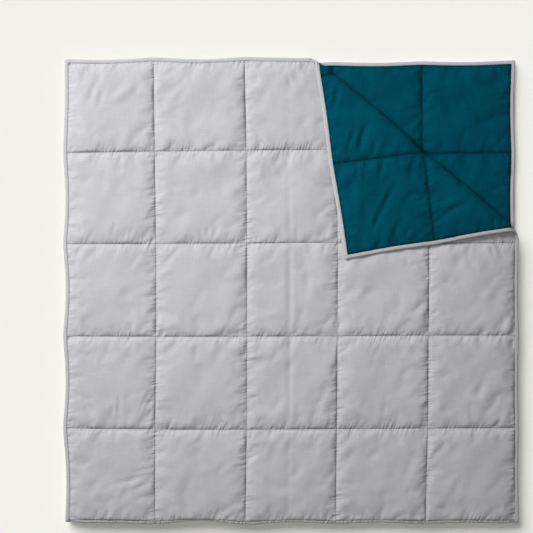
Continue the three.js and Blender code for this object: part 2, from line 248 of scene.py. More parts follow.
def drift(table, u, row_place):
    rows, columns = table.shape
    across = curve_weights(u / BOX_WIDTH, columns)
    if rows == 1:
        return sum(share * table[0, pick] for pick, share in across)
    along = curve_weights(row_place, rows)
    return sum(
        row_share * share * table[row, pick]
        for row, row_share in along
        for pick, share in across
    )


def upper_drift(table, u, v):
    return drift(table, u, ROWS - v / BOX_LENGTH)


# %% Outline, scallops and sag
def edge_distance(u, v):
    loose = np.where(v >= 0, UPPER_LENGTH - v, LOWER_LENGTH + v)
    return np.minimum(np.minimum(u, CLOTH_WIDTH - u), loose)


def by_box(table, lines, at, ends):
    """A table with one value a box, each reached in the middle of its box."""
    return table[box_of(lines, at)] * bow(ends)


def by_column(table, u):
    return by_box(table, COLUMN_LINES, u, box_ends(COLUMN_LINES, u, True))


def by_row(upper_table, lower_table, v):
    upper = by_box(upper_table, UPPER_LINES, v, row_ends(v))
    return np.where(v >= 0, upper, by_box(lower_table, LOWER_LINES, -v, row_ends(v)))


def scallop(u, v):
    """The outline is drawn in between sewn lines, and the pull fades out across the box."""
    fade_left = np.maximum(0, 1 - u / BOX_WIDTH)
    fade_right = np.maximum(0, 1 - (CLOTH_WIDTH - u) / BOX_WIDTH)
    length = np.where(v >= 0, UPPER_LENGTH, LOWER_LENGTH)
    fade_end = np.maximum(0, 1 - (length - np.abs(v)) / BOX_LENGTH)
    left, right = by_row(LEFT_BOW, LOWER_BOW, v), by_row(RIGHT_BOW, LOWER_BOW, v)
    at_end = np.where(v >= 0, by_column(TOP_BOW, u), by_column(LOWER_BOW, u))
    return left * fade_left - right * fade_right, -at_end * fade_end


def fold_bow(u, from_fold):
    return by_column(FOLD_BOW, u) * np.exp(-((from_fold / FOLD_BOW_REACH) ** 2))


def upper_spot(u, v):
    sideways, endways = scallop(u, v)
    x = u - CLOTH_WIDTH / 2 + upper_drift(DRIFT_ACROSS, u, v) + sideways
    y = LAST_LINE_Y + v + upper_drift(DRIFT_ALONG, u, v) + endways + fold_bow(u, v - FOLD_START)
    return x, y


def lower_spot(u, v):
    sideways, endways = scallop(u, v)
    away = smooth(-v, 0, 2 * LOWER_BOX_LENGTH)
    at_fold = upper_drift(DRIFT_ACROSS, u, 0 * v)
    across = lerp(at_fold, drift(LOWER_DRIFT_ACROSS, u, None), away)
    past_fold = -v - (FOLD_ARC - FOLD_START)
    x = u - CLOTH_WIDTH / 2 + across + sideways
    along = upper_drift(DRIFT_ALONG, u, 0 * v) + away * drift(LOWER_DRIFT_ALONG, u, None)
    y = LAST_LINE_Y + FOLD_START + past_fold + along + endways + fold_bow(u, past_fold)
    return x, y


def sag(u, v, amount):
    return amount * np.exp(-((edge_distance(u, v) / SAG_REACH) ** 2))


# %% The turned-back corner
CREASE_LENGTH = np.linalg.norm(CREASE_END - CREASE_START)
CREASE_ALONG = (CREASE_END - CREASE_START) / CREASE_LENGTH
CREASE_ACROSS = np.array([-CREASE_ALONG[1], CREASE_ALONG[0]])   # towards the corner


def crease_place(x, y):
    dx, dy = x - CREASE_START[0], y - CREASE_START[1]
    along = dx * CREASE_ALONG[0] + dy * CREASE_ALONG[1]
    across = dx * CREASE_ACROSS[0] + dy * CREASE_ACROSS[1]
    return along, across


def crease_radius(along):
    return lerp(CREASE_RADIUS_START, CREASE_RADIUS_END, along / CREASE_LENGTH)


def crease_height(along):
    return lerp(CREASE_HEIGHT_START, CREASE_HEIGHT_END, along / CREASE_LENGTH)


def crease_point(along, across):
    x = CREASE_START[0] + along * CREASE_ALONG[0] + across * CREASE_ACROSS[0]
    y = CREASE_START[1] + along * CREASE_ALONG[1] + across * CREASE_ACROSS[1]
    return x, y


def turn_back(u, v, x, y, z):
    """Rolls cloth past the crease up and over. Gives its place and the way its grey side looks."""
    along, across = crease_place(x, y)
    radius = crease_radius(along)
    turn = np.clip(across / radius, 0, np.pi)
    past = np.maximum(across - np.pi * radius, 0)
    offset = np.where(across > 0, radius * np.sin(turn) - past, across)
    turned_x, turned_y = crease_point(along, offset)
    height = crease_height(along)
    from_edge = radius * (1 - np.sin(turn)) + past
    slump = smooth(turn, 0, np.pi / 2) * np.exp(-from_edge / CREASE_SLUMP_REACH)
    rolled = z + height * (1 - np.cos(turn)) - CREASE_SLUMP * slump
    lying = UPPER_Z + CORNER_LIFT - sag(u, v, CORNER_EDGE_SAG)
    settled = lerp(rolled, lying, smooth(past, 0, CORNER_DROP_REACH))
    inwards, upwards = -height * np.sin(turn), radius * np.cos(turn)
    size = np.hypot(inwards, upwards)
    inwards, upwards = inwards / size, upwards / size
    face = (CREASE_ACROSS[0] * inwards, CREASE_ACROSS[1] * inwards, upwards)
    return turned_x, turned_y, settled, face


def place(u, v, w):
    """Carries points of the flat cloth to the folded comforter. The last axis is x, y, z."""
    u, v, w = (np.array(value, float) for value in np.broadcast_arrays(u, v, w))
    x, y = upper_spot(u, np.maximum(v, FOLD_START))
    low_x, low_y = lower_spot(u, np.minimum(v, FOLD_START - FOLD_ARC))
    top = UPPER_Z - sag(u, v, UPPER_EDGE_SAG)
    bottom = LOWER_Z - sag(u, v, LOWER_EDGE_SAG)
    turn = np.pi * np.clip((FOLD_START - v) / FOLD_ARC, 0, 1)
    radius = (top - bottom) / 2
    below = v < FOLD_START - FOLD_ARC
    x = np.where(below, low_x, x)
    y = np.where(below, low_y, y - radius * np.sin(turn) * (1 - by_column(FOLD_TUCK, u)))
    z = (top + bottom) / 2 + radius * np.cos(turn)
    turned_x, turned_y, turned_z, turned_face = turn_back(u, v, x, y, z)
    upper = v >= FOLD_START
    face_x = np.where(upper, turned_face[0], 0)
    face_y = np.where(upper, turned_face[1], -np.sin(turn))
    face_z = np.where(upper, turned_face[2], np.cos(turn))
    x = np.where(upper, turned_x, x) + w * face_x
    y = np.where(upper, turned_y, y) + w * face_y
    z = np.where(upper, turned_z, z) + w * face_z
    return np.stack([x, y, np.maximum(z, 0)], axis=-1)


# %% How thick the filling is
def pressing(u, v):
    """How much of its crown the grey side keeps where cloth presses on cloth."""
    x, y = upper_spot(u, np.maximum(v, FOLD_START))
    along, across = crease_place(x, y)
    turned_x, turned_y = crease_point(along, np.pi * crease_radius(along) - across)
    loose_y = LAST_LINE_Y + UPPER_LENGTH
    inside = np.minimum(CLOTH_WIDTH / 2 - turned_x, loose_y - turned_y)
    carrying = lerp(1.0, UNDER_CORNER_PRESS, smooth(inside, -UNDER_CORNER_REACH, 0))
    upper = lerp(carrying, CORNER_PRESS, smooth(across, -CORNER_PRESS_REACH, 0))
    folded = np.where(v > FOLD_START - FOLD_ARC, FOLD_TIGHT, 1.0)
    return np.where(v >= FOLD_START, upper, folded)


def unevenness(u, v):
    """Slow waves, so that no two boxes are filled alike."""
    return 1 + CROWN_UNEVEN * np.sin(u / 71 + 1.3) * np.cos(v / 97 + 0.4)


def last_line_pull(v):
    return LAST_LINE_PULL * np.exp(-((v / LAST_LINE_REACH) ** 2))


def face_height(u, v):
    full = fullness(u, v)
    free = FACE_CROWN * full * unevenness(u, v) * pressing(u, v)
    on_floor = FACE_CROWN * np.minimum(1, FLOOR_SPREAD * full)
    return FACE_AT_LINE - last_line_pull(v) + np.where(v < FOLD_START - FOLD_ARC, on_floor, free)


def back_height(u, v):
    return -BACK_AT_LINE - BACK_CROWN * fullness(u, v)


def filling_back(u, v):
    """The hidden back of the filling, kept clear of the deepest wrinkle of the teal cloth."""
    return -BACK_AT_LINE - HIDDEN_BACK_SHARE * BACK_CROWN * fullness(u, v)


def lies_open(u, v):
    """1 where the grey side shows, falling to 0 where it rolls in under the turned corner."""
    along, across = crease_place(*upper_spot(u, np.maximum(v, FOLD_START)))
    return np.where(v > 0, 1 - smooth(across, -ROLL_IN_REACH, 0), FOLD_WRINKLE_SHARE)


corner = place(np.array([CLOTH_WIDTH]), np.array([UPPER_LENGTH]), np.array([0.0]))[0]
print("the turned corner lies at", np.round(corner, 1))

# %% [markdown]
# ## Puckers and creases
# Thread draws cloth together a little, so small puckers run away from every sewn line. Each one is
# a shallow groove with a soft ridge on both sides: deepest near the line, wider and shallower into
# the box. They are strewn by a seeded draw, leaning the way the cloth is pulled. A few larger
# wrinkles are put in one by one, and the mark of a packing fold runs down the middle.
#
# Most wrinkles come from the cloth solver, because nothing else puckers as cloth does. A flat grid
# of five by five boxes is held along its sewn lines. Its rest size is a little larger than the grid
# and slightly askew, and a light pressure stands in for the filling. In a few frames the cloth
# that is too much gathers at the lines. Each box then has the same dome, which the comforter
# already has, so the mean box is taken off and only the wrinkles are kept.

# %% Numbers in and out of a mesh
def put_in_scene(name, data):
    made = bpy.data.objects.new(name, data)
    bpy.context.scene.collection.objects.link(made)
    return made


def give(items, name, numbers):
    items.foreach_set(name, np.asarray(numbers, np.float32).ravel())


def take(items, name, size, kind):
    numbers = np.zeros(len(items) * size, kind)
    items.foreach_get(name, numbers)
    return numbers.reshape(-1, size)


# %% A grid of cloth held at its sewn lines
SIM_CELLS = 44               # grid steps across a box
PATCH_POINTS = SIM_CELLS * COLUMNS + 1
SIM_FRAMES = 14
SIM_CROWN = 7.0
SIM_EXCESS = 0.009           # how much too large the cloth is
SIM_SKEW = 0.010
SIM_PRESSURE = 1.0
SIM_SEED = 3
SIM_ROUGHNESS = 0.4          # how uneven the grid starts
SIM_ROUGH_SIZE = 2.0         # and over how many grid steps
SWELL_HEIGHT = 0.5
SWELL_SIZE = (9.0, 3.2)      # grid steps along its lean and across
SWELL_LEAN = 58.0


def patch_noise(length, width, lean, seed):
    """Random heights of size 1, drawn out by length grid steps along a direction in degrees."""
    noise = np.random.default_rng(seed).normal(size=(PATCH_POINTS, PATCH_POINTS))
    half = PATCH_POINTS // 2
    steps = (np.arange(PATCH_POINTS) + half) % PATCH_POINTS - half
    x, y = grid_of(steps, steps)
    along = x * math.cos(math.radians(lean)) + y * math.sin(math.radians(lean))
    across = -x * math.sin(math.radians(lean)) + y * math.cos(math.radians(lean))
    kernel = np.exp(-((along / length) ** 2 + (across / width) ** 2) / 2)
    drawn_out = np.real(np.fft.ifft2(np.fft.fft2(noise) * np.fft.fft2(kernel)))
    return drawn_out / drawn_out.std()


def sewn_patch():
    """The patch as a mesh, its rest shape as a shape key, and a group for its sewn lines."""
    steps = np.arange(PATCH_POINTS) * BOX_WIDTH / SIM_CELLS
    x, y = grid_of(steps, steps)
    on_line = np.arange(PATCH_POINTS) % SIM_CELLS == 0
    held = on_line[:, None] | on_line[None, :]
    z = SIM_CROWN * rise((x % BOX_WIDTH, -x % BOX_WIDTH)) * rise((y % BOX_WIDTH, -y % BOX_WIDTH))
    start = SIM_ROUGHNESS * patch_noise(SIM_ROUGH_SIZE, SIM_ROUGH_SIZE, 0.0, SIM_SEED)
    z = np.where(held, 0.0, z + start)
    mesh = bpy.data.meshes.new("sewn_patch")
    points = rows_of(x + SIM_SKEW * y, y, z) * MM
    mesh.from_pydata(points.tolist(), [], grid_faces(PATCH_POINTS, PATCH_POINTS).tolist())
    patch = put_in_scene("sewn_patch", mesh)
    patch.shape_key_add(name="Basis")
    rest = patch.shape_key_add(name="rest")
    give(rest.data, "co", rows_of(x, y, z) * MM)
    rest.value = 0
    group = patch.vertex_groups.new(name="sewn")
    group.add(np.nonzero(held.ravel())[0].tolist(), 1.0, "REPLACE")
    return patch, rest


def grid_faces(rows, columns, first=0, flip=False):
    index = first + np.arange(rows * columns).reshape(rows, columns)
    quads = np.stack([index[:-1, :-1], index[1:, :-1], index[1:, 1:], index[:-1, 1:]], axis=-1)
    quads = quads.reshape(-1, 4)
    return quads[:, ::-1] if flip else quads


# %% Let it settle
def settled_heights(patch, rest):
    cloth = patch.modifiers.new("cloth", "CLOTH")
    settings = cloth.settings
    settings.rest_shape_key = rest
    settings.vertex_group_mass = "sewn"
    settings.quality = 4
    settings.mass = 0.1
    settings.tension_stiffness = settings.compression_stiffness = 15
    settings.shear_stiffness = 5
    settings.bending_stiffness = 0.02
    settings.shrink_min = -SIM_EXCESS
    settings.use_pressure = True
    settings.uniform_pressure_force = SIM_PRESSURE
    settings.effector_weights.gravity = 0
    cloth.collision_settings.use_collision = False
    cloth.point_cache.frame_end = SIM_FRAMES + 1
    scene = bpy.context.scene
    for frame_number in range(1, SIM_FRAMES + 1):
        scene.frame_set(frame_number)
    settled = patch.evaluated_get(bpy.context.evaluated_depsgraph_get()).to_mesh()
    points = take(settled.vertices, "co", 3, np.float32)
    heights = points[:, 2].reshape(PATCH_POINTS, PATCH_POINTS) / MM
    mesh = patch.data
    bpy.data.objects.remove(patch)
    bpy.data.meshes.remove(mesh)
    scene.frame_set(1)
    return heights


def without_mean_box(heights):
    """What each box has that the mean box has not."""
    boxes = heights[:-1, :-1].reshape(COLUMNS, SIM_CELLS, COLUMNS, SIM_CELLS)
    own = (boxes - boxes.mean(axis=(0, 2), keepdims=True)).reshape(heights[:-1, :-1].shape)
    return np.pad(own, ((0, 1), (0, 1)))


cloth_wrinkles = np.zeros((PATCH_POINTS, PATCH_POINTS))
cloth_wrinkles = without_mean_box(settled_heights(*sewn_patch()))
# Slow swells of the filling lean the same way as the cloth's pull
cloth_wrinkles += SWELL_HEIGHT * patch_noise(*SWELL_SIZE, SWELL_LEAN, SIM_SEED + 1)
print(f"wrinkles from the cloth solver: {cloth_wrinkles.std():.2f} mm on average")


# %% Reading the patch at places on the cloth
def patch_place(lines, at, bound_at_start):
    """Where a station falls on the patch, in grid steps. Rows past the patch start over."""
    from_start, from_end = box_ends(lines, at, bound_at_start)
    return (box_of(lines, at) % COLUMNS + from_start / (from_start + from_end)) * SIM_CELLS


def read_patch(patch, across, along):
    """Straight-line reading between grid points, for every pair of stations."""
    def halves(place):
        low = np.clip(np.floor(place).astype(int), 0, len(patch) - 2)
        return low, place - low
    i, p = halves(across)
    j, q = halves(along)
    p, q = p[:, None], q[None, :]
    low = patch[np.ix_(i, j)] * (1 - q) + patch[np.ix_(i, j + 1)] * q
    high = patch[np.ix_(i + 1, j)] * (1 - q) + patch[np.ix_(i + 1, j + 1)] * q
    return low * (1 - p) + high * p


def cloth_relief(patch, us, vs):
    upper = patch_place(UPPER_LINES, np.maximum(vs, 0), False)
    lower = patch_place(LOWER_LINES, np.maximum(-vs, 0), False)
    across = patch_place(COLUMN_LINES, us, True)
    return read_patch(patch, across, np.where(vs >= 0, upper, lower))


# %% One wrinkle, pressed into a grid of heights
def valley(part):
    """A groove of depth 1 with a soft ridge on both sides. part is 0 in its middle."""
    return -(1 - 0.9 * part**2) * np.exp(-0.9 * part**2)


def press_wrinkle(heights, us, vs, start, end, width, depth, spread=1.6, at_seam=True):
    """Presses a groove that runs from start to end on the flat cloth."""
    start, end = np.array(start, float), np.array(end, float)
    length = np.linalg.norm(end - start)
    way = (end - start) / length
    reach = 3 * width * spread
    low = np.minimum(start, end) - reach
    high = np.maximum(start, end) + reach
    i0, i1 = np.searchsorted(us, [low[0], high[0]])
    j0, j1 = np.searchsorted(vs, [low[1], high[1]])
    if i0 == i1 or j0 == j1:
        return
    du = us[i0:i1, None] - start[0]
    dv = vs[None, j0:j1] - start[1]
    along = (du * way[0] + dv * way[1]) / length
    across = -du * way[1] + dv * way[0]
    here = width * lerp(1.0, spread, np.clip(along, 0, 1))
    fade_in = smooth(along, 0, 0.12 if at_seam else 0.45)
    fade_out = 1 - smooth(along, 0.3, 1.0)
    heights[i0:i1, j0:j1] += depth * valley(across / here) * fade_in * fade_out


# %% Strewing puckers along a sewn line
PUCKER_GAP = (8.0, 26.0)
PUCKER_LENGTH = (14.0, 46.0)
PUCKER_WIDTH = (3.0, 5.2)
PUCKER_DEPTH = (0.6, 2.4)
PUCKER_SKIPPED = 0.25        # the chance that one side of the line has none
LEAN_UP = 24.0               # degrees from square to the line, towards the right and the far end
LEAN_SPREAD = 14.0


def line_puckers(draw, run, at, lean, sideways):
    """The puckers on both sides of a line. sideways is True for a line that runs along u."""
    found = []
    place_on = run[0] + draw.uniform(4, 14)
    while place_on < run[1] - 4:
        strong = draw.random() ** 1.6
        for side in (1, -1):
            if draw.random() < PUCKER_SKIPPED:
                continue
            angle = math.radians(draw.normal(lean, LEAN_SPREAD))
            length = lerp(*PUCKER_LENGTH, strong * draw.uniform(0.5, 1.2))
            forward = side * length * math.cos(angle)
            slip = side * length * math.sin(angle)
            start = (place_on, at) if sideways else (at, place_on)
            step = (slip, forward) if sideways else (forward, slip)
            end = (start[0] + step[0], start[1] + step[1])
            width = draw.uniform(*PUCKER_WIDTH)
            depth = lerp(*PUCKER_DEPTH, strong) * draw.uniform(0.6, 1.1)
            found.append((start, end, width, depth))
        place_on += draw.uniform(*PUCKER_GAP)
    return found


def all_puckers(seed):
    draw = np.random.default_rng(seed)
    found = []
    for at in SEAMS_V:
        found += line_puckers(draw, (BOX_START, CLOTH_WIDTH - BOX_START), at, LEAN_UP, True)
    for at in SEAMS_U:
        found += line_puckers(draw, (-LOWER_LENGTH + BOX_START, UPPER_LENGTH - BOX_START),
                              at, LEAN_UP * 0.7, False)
    return found


# %% Soft wrinkles inside the boxes
SOFT_LENGTH = (50, 130)
SOFT_WIDTH = (9, 16)
SOFT_DEPTH = (0.6, 2.2)
SOFT_SPREAD = 16
SOFT_START_U = (0.12, 0.8)   # where one may start, as a share of its box
SOFT_START_V = (0.08, 0.7)


def soft_wrinkles(seed, count, lean):
    """A few long shallow wrinkles in each box, leaning to the right and the far end."""
    draw = np.random.default_rng(seed)
    found = []
    rows = [*zip(UPPER_LINES, UPPER_LINES[1:])]
    rows += [(-b, -a) for a, b in zip(LOWER_LINES, LOWER_LINES[1:])]
    for low, high in rows:
        for column in range(COLUMNS):
            for _ in range(count):
                u = lerp(*COLUMN_LINES[column:column + 2], draw.uniform(*SOFT_START_U))
                v = lerp(low, high, draw.uniform(*SOFT_START_V))
                angle = math.radians(draw.normal(lean, SOFT_SPREAD))
                length = draw.uniform(*SOFT_LENGTH)
                end = (u + length * math.cos(angle), v + length * math.sin(angle))
                found.append(((u, v), end, draw.uniform(*SOFT_WIDTH), draw.uniform(*SOFT_DEPTH)))
    return found


# %% Wrinkles put in one by one
def flat_place(x, y, turned):
    """The place on the flat cloth of a spot on the folded comforter, or on its turned corner."""
    if turned:
        along, across = crease_place(x, y)
        x, y = crease_point(along, np.pi * crease_radius(along) - across)
    u, v = np.array(x + CLOTH_WIDTH / 2), np.array(y - LAST_LINE_Y)
    for _ in range(4):
        spot_x, spot_y = upper_spot(u, v)
        u, v = u + x - spot_x, v + y - spot_y
    return float(u), float(v)


def press_by_hand(heights, us, vs, table, turned):
    for from_x, from_y, to_x, to_y, width, depth in table:
        start = flat_place(from_x, from_y, turned)
        end = flat_place(to_x, to_y, turned)
        press_wrinkle(heights, us, vs, start, end, width, depth, spread=1.3, at_seam=False)


# Where each one starts and ends on the folded comforter, seen from above, and how it is pressed
CORNER_WRINKLES = [           # from_x, from_y, to_x, to_y, width, depth
    [118, 520, 99, 430, 8, 5],
    [160, 415, 132, 330, 7, 4.4],
    [186, 420, 160, 322, 8, 6.4],
    [209, 385, 200, 322, 6, 4.4],
    [262, 278, 206, 160, 8.5, 6.4],
    [220, 200, 194, 132, 7, 5],
    [434, 221, 350, 176, 9, 5.4],
    [398, 192, 326, 158, 6, 4],
    [152, 298, 143, 188, 12, 4.2],
    [264, 168, 250, 124, 6, 3.8],
    [294, 164, 278, 122, 6, 4],
    [120, 314, 116, 272, 6, 3.6],
    [165, 322, 160, 262, 6, 3.6],
    [224, 326, 216, 258, 6, 3.6],
    [302, 338, 292, 250, 10, 3.4],
]
GREY_CREASES = [
    [-300, 3, -40, 2, 3, 0.4],
    [60, 3, 330, 2, 3, 0.4],
    [-14, -96, -6, -66, 4.5, 1.8],
    [6, -98, 16, -70, 4.5, 1.8],
    [-4, -116, 0, -150, 4.5, 1.8],
    [-462, 462, -372, 530, 14, -3.2],
    [-485, 445, -462, 535, 9, 2.6],
    [-508, 460, -482, 550, 8, 2],
    [-16, 545, 6, 498, 5, 2],
    [-341, -434, -420, -462, 5, 1.8],
    [-341, -450, -480, -494, 7, 2.4],
    [-360, -470, -440, -505, 8, -1.6],
    [-341, -477, -424, -500, 5, 1.8],
    [-341, -505, -400, -524, 5, 1.4],
    [-344, -226, -389, -322, 4.5, 1.8],
    [-344, -254, -376, -326, 4.5, 2],
    [-345, -280, -362, -330, 4.5, 1.8],
    [-429, -240, -431, -338, 6, 2.2],
    [-446, -272, -451, -338, 6, 1.8],
    [498, 146, 528, 100, 5, 3.4],
    [512, 146, 548, 132, 5, 3],
    [470, 140, 502, 121, 5, 2.6],
    [490, 120, 510, 82, 6, 3.2],
    [-346, 212, -378, 146, 3.5, 1],
    [-181, 168, -202, 116, 4.5, 2.4],
    [-206, 168, -212, 116, 4.5, 2.6],
    [-399, 162, -402, 116, 4.5, 2.4],
    [-437, 178, -454, 116, 6, 2],
    [470, -35, 522, 34, 13, -2.4],
]

# The packing fold is a valley, steeper on its right, and each box keeps its own share of it
PACKING_U = 564.2
PACKING_WIDTHS = (12.0, 6.5)
PACKING_V = [0.0, 116.0, 347.0, 580.0, 810.0, 1040.0, 1158.0]
PACKING_DEPTH = [0.6, 0.9, 1.8, 2.2, 1.3, 0.4, 0.2]


def packing_fold(us, vs):
    part = (us - PACKING_U) / np.where(us < PACKING_U, *PACKING_WIDTHS)
    depth = np.where(vs > 0, np.interp(vs, PACKING_V, PACKING_DEPTH), 0.0)
    return valley(part)[:, None] * depth[None, :]


# %% Grids of heights
HELD_REACH = 3.0


def relief(us, vs, seed, soft_count, lean):
    """Puckers and soft wrinkles on a grid of the flat cloth."""
    heights = np.zeros((len(us), len(vs)))
    for start, end, width, depth in all_puckers(seed):
        press_wrinkle(heights, us, vs, start, end, width, depth)
    for start, end, width, depth in soft_wrinkles(seed + 1, soft_count, lean):
        press_wrinkle(heights, us, vs, start, end, width, depth, spread=1.2, at_seam=False)
    return heights


def hold_at_lines(heights, us, vs):
    """No wrinkle lifts the cloth where thread holds it."""
    def free(at, seams):
        outside = (at < min(seams)) | (at > max(seams))
        return np.where(outside, 0, smooth(off_line(at, seams), 0, HELD_REACH))
    return heights * free(us, SEAMS_U)[:, None] * free(vs, SEAMS_V)[None, :]


# %% [markdown]
# ## Points along the cloth
# The grid is close where the cloth turns sharply at a sewn line, and wider on the crown of a box.
# It is wide too where nothing shows, such as between the two halves.

# %% Grid stations
NEAR_LINE = np.array([0.0, 1.3, 3.2, 6.0, 9.8, 14.4])   # stations beside a sewn line
MARGIN = np.array([CLOTH_EDGE, 6.9])                    # and under the binding
HIDDEN = 3                   # grid steps across a box that doesn't show
FEW_STEPS = 6                # up to so many, only every third station beside the line is kept
FOLD_STEPS = 9
SAME_PLACE = 0.05


def box_stations(start, end, inner_count):
    """Close next to both sewn lines, except in a box that doesn't show and has few steps."""
    near = NEAR_LINE if inner_count > FEW_STEPS else NEAR_LINE[::3]
    inner = np.linspace(start + near[-1], end - near[-1], inner_count + 1)
    return np.concatenate([start + near[:-1], inner, (end - near[:-1])[::-1][:-1]])


def stations_over(lines, first_start, last_end, inner_counts):
    parts = []
    for box, inner_count in enumerate(inner_counts):
        start = first_start if box == 0 else lines[box]
        end = last_end if box == len(inner_counts) - 1 else lines[box + 1]
        parts.append(box_stations(start, end, inner_count))
    return np.concatenate([*parts, [last_end]])


def across_stations(inner_counts):
    inner = stations_over(COLUMN_LINES, BOX_START, CLOTH_WIDTH - BOX_START, inner_counts)
    return np.concatenate([MARGIN, inner, (CLOTH_WIDTH - MARGIN)[::-1]])


def along_stations(upper_counts, lower_counts):
    upper = stations_over(UPPER_LINES, 0.0, UPPER_LENGTH - BOX_START, upper_counts)
    lower = stations_over(LOWER_LINES, 0.0, LOWER_LENGTH - BOX_START, lower_counts)
    fold = FOLD_START - FOLD_ARC * np.linspace(0, 1, FOLD_STEPS)
    kept = lower[lower > FOLD_ARC]
    low = np.concatenate([-kept, fold[1:], [-NEAR_LINE[1], 0.0, NEAR_LINE[1], FOLD_START]])
    top = upper[upper > FOLD_START + 0.5]
    ends = np.concatenate([-(LOWER_LENGTH - MARGIN), UPPER_LENGTH - MARGIN])
    return np.unique(np.round(np.concatenate([low, top, ends]), 4))


# %% [markdown]
# ## The filled body
# The grey cloth and the filling that it holds are one closed skin. Its grey side has the fine grid.
# Its other side lies against the teal cloth and never shows, so its grid is coarser. A wall of
# triangles at the cut edge joins the two.

# %% Closed skins from grids
def outline(rows, columns, first=0):
    """The border of a grid, once round, starting at its first corner."""
    index = first + np.arange(rows * columns).reshape(rows, columns)
    return np.concatenate([index[:-1, 0], index[-1, :-1], index[:0:-1, -1], index[0, :0:-1]])


def border_places(us, vs):
    """The flat places of the same border, to match the points of two grids."""
    ring = outline(len(us), len(vs))
    return [tuple(spot) for spot in rows_of(*grid_of(us, vs))[ring].round(3)]


def wall_between(close_ring, close_places, coarse_ring, coarse_places):
    """Joins a close border to a coarse one that has some of its points, with triangles."""
    where = {spot: i for i, spot in enumerate(close_places)}
    stops = [where[spot] for spot in coarse_places] + [len(close_places)]
    faces = []
    for k, low in enumerate(coarse_ring):
        for i in range(stops[k], stops[k + 1]):
            faces.append((low, close_ring[(i + 1) % len(close_ring)], close_ring[i]))
        low_next = coarse_ring[(k + 1) % len(coarse_ring)]
        faces.append((low, low_next, close_ring[stops[k + 1] % len(close_ring)]))
    return faces


def triangles_of(mesh):
    return sum(len(face.vertices) - 2 for face in mesh.polygons)


def make_mesh(name, points, faces, places):
    """A smooth mesh in metres. places gives each point's (u, v), kept as a UV map in metres."""
    mesh = bpy.data.meshes.new(name)
    mesh.from_pydata((np.asarray(points) * MM).tolist(), [], [list(map(int, f)) for f in faces])
    mesh.polygons.foreach_set("use_smooth", np.ones(len(mesh.polygons), bool))
    corners = take(mesh.loops, "vertex_index", 1, np.int32).ravel()
    give(mesh.uv_layers.new(name="cloth").data, "uv", places[corners] * MM)
    mesh.update()
    print(name + ":", triangles_of(mesh), "triangles")
    return put_in_scene(name, mesh)


def note_lines(piece, places):
    """Keeps each point's distance from the nearest sewn line of either direction, in metres."""
    for axis, (name, seams) in enumerate((("from_column", SEAMS_U), ("from_row", SEAMS_V))):
        layer = piece.data.attributes.new(name, "FLOAT", "POINT")
        give(layer.data, "value", off_line(places[:, axis], seams) * MM)


def crisp_at_lines(piece, places):
    """Marks the edges along sewn lines sharp, so the light breaks there as in a real seam."""
    mesh = piece.data
    ends = take(mesh.edges, "vertices", 2, np.int32)
    sharp = np.zeros(len(ends), bool)
    for axis, lines in enumerate((SEWN_U, SEWN_V)):
        at = places[:, axis]
        on_line = off_line(at, lines) < SAME_PLACE
        sharp |= on_line[ends].all(axis=1) & (np.abs(np.diff(at[ends])[:, 0]) < SAME_PLACE)
    mark = mesh.attributes.new("sharp_edge", "BOOLEAN", "EDGE")
    mark.data.foreach_set("value", sharp)


def make_cloth(name, points, faces, places):
    piece = make_mesh(name, points, faces, places)
    crisp_at_lines(piece, places)
    note_lines(piece, places)
    return piece


# %% The grey side and the filling
FACE_SEED = 11
FACE_WRINKLES = 1.2          # how much of the cloth solver's wrinkles is used
FACE_SOFT_COUNT = 3
FACE_LEAN = 62.0
FINE = 45                    # grid steps across the crown of a box where it shows
OUTLINE_BAND = 10            # how far from the outline every station is kept
FOLD_BAND = 12               # and how far past the fold


def thinned(stations, lines, step=7):
    """Every sewn line, every few stations, and all of them at the outline and the fold."""
    near = off_line(stations, lines) < SAME_PLACE
    picked = np.arange(len(stations)) % step == 0
    ends = (stations < stations[0] + OUTLINE_BAND) | (stations > stations[-1] - OUTLINE_BAND)
    fold = (stations > -FOLD_ARC) & (stations < FOLD_BAND)
    return stations[near | picked | ends | (fold & (stations[0] < 0))]


body_us = across_stations([FINE] * COLUMNS)
body_vs = along_stations([FINE] * ROWS, [HIDDEN] * ROWS)
face_relief = relief(body_us, body_vs, FACE_SEED, FACE_SOFT_COUNT, FACE_LEAN)
face_relief += FACE_WRINKLES * cloth_relief(cloth_wrinkles, body_us, body_vs)
press_by_hand(face_relief, body_us, body_vs, GREY_CREASES, False)
face_relief += packing_fold(body_us, body_vs)
face_relief = hold_at_lines(face_relief, body_us, body_vs)
u_grid, v_grid = grid_of(body_us, body_vs)
on_floor = v_grid < FOLD_START - FOLD_ARC
face_relief = np.where(on_floor, 0, face_relief * lies_open(u_grid, v_grid))
face_w = face_height(u_grid, v_grid) + face_relief
face_w = np.maximum(face_w, filling_back(u_grid, v_grid) + LEAST_FILLING)
face_points = place(u_grid, v_grid, face_w).reshape(-1, 3)

inner_us = thinned(body_us, COLUMN_LINES)
inner_vs = thinned(body_vs, [*UPPER_LINES, *-LOWER_LINES])
inner_u, inner_v = grid_of(inner_us, inner_vs)
inner_points = place(inner_u, inner_v, filling_back(inner_u, inner_v)).reshape(-1, 3)

face_count = len(face_points)
body_faces = [*grid_faces(len(body_us), len(body_vs))]
body_faces += [*grid_faces(len(inner_us), len(inner_vs), face_count, flip=True)]
body_faces += wall_between(
    outline(len(body_us), len(body_vs)), border_places(body_us, body_vs),
    outline(len(inner_us), len(inner_vs), face_count), border_places(inner_us, inner_vs))
body_places = np.concatenate([rows_of(u_grid, v_grid), rows_of(inner_u, inner_v)])
filled_body = make_cloth("filled_body", np.concatenate([face_points, inner_points]),
                         body_faces, body_places)

# %% [markdown]
# ## The teal reverse
# The teal cloth is a thin sheet against the back of the filling. It is a closed sheet with a real
# thickness, so it can be cut or printed on its own. It shows on the turned corner and on the lower
# half behind it, and the grid is close there only.

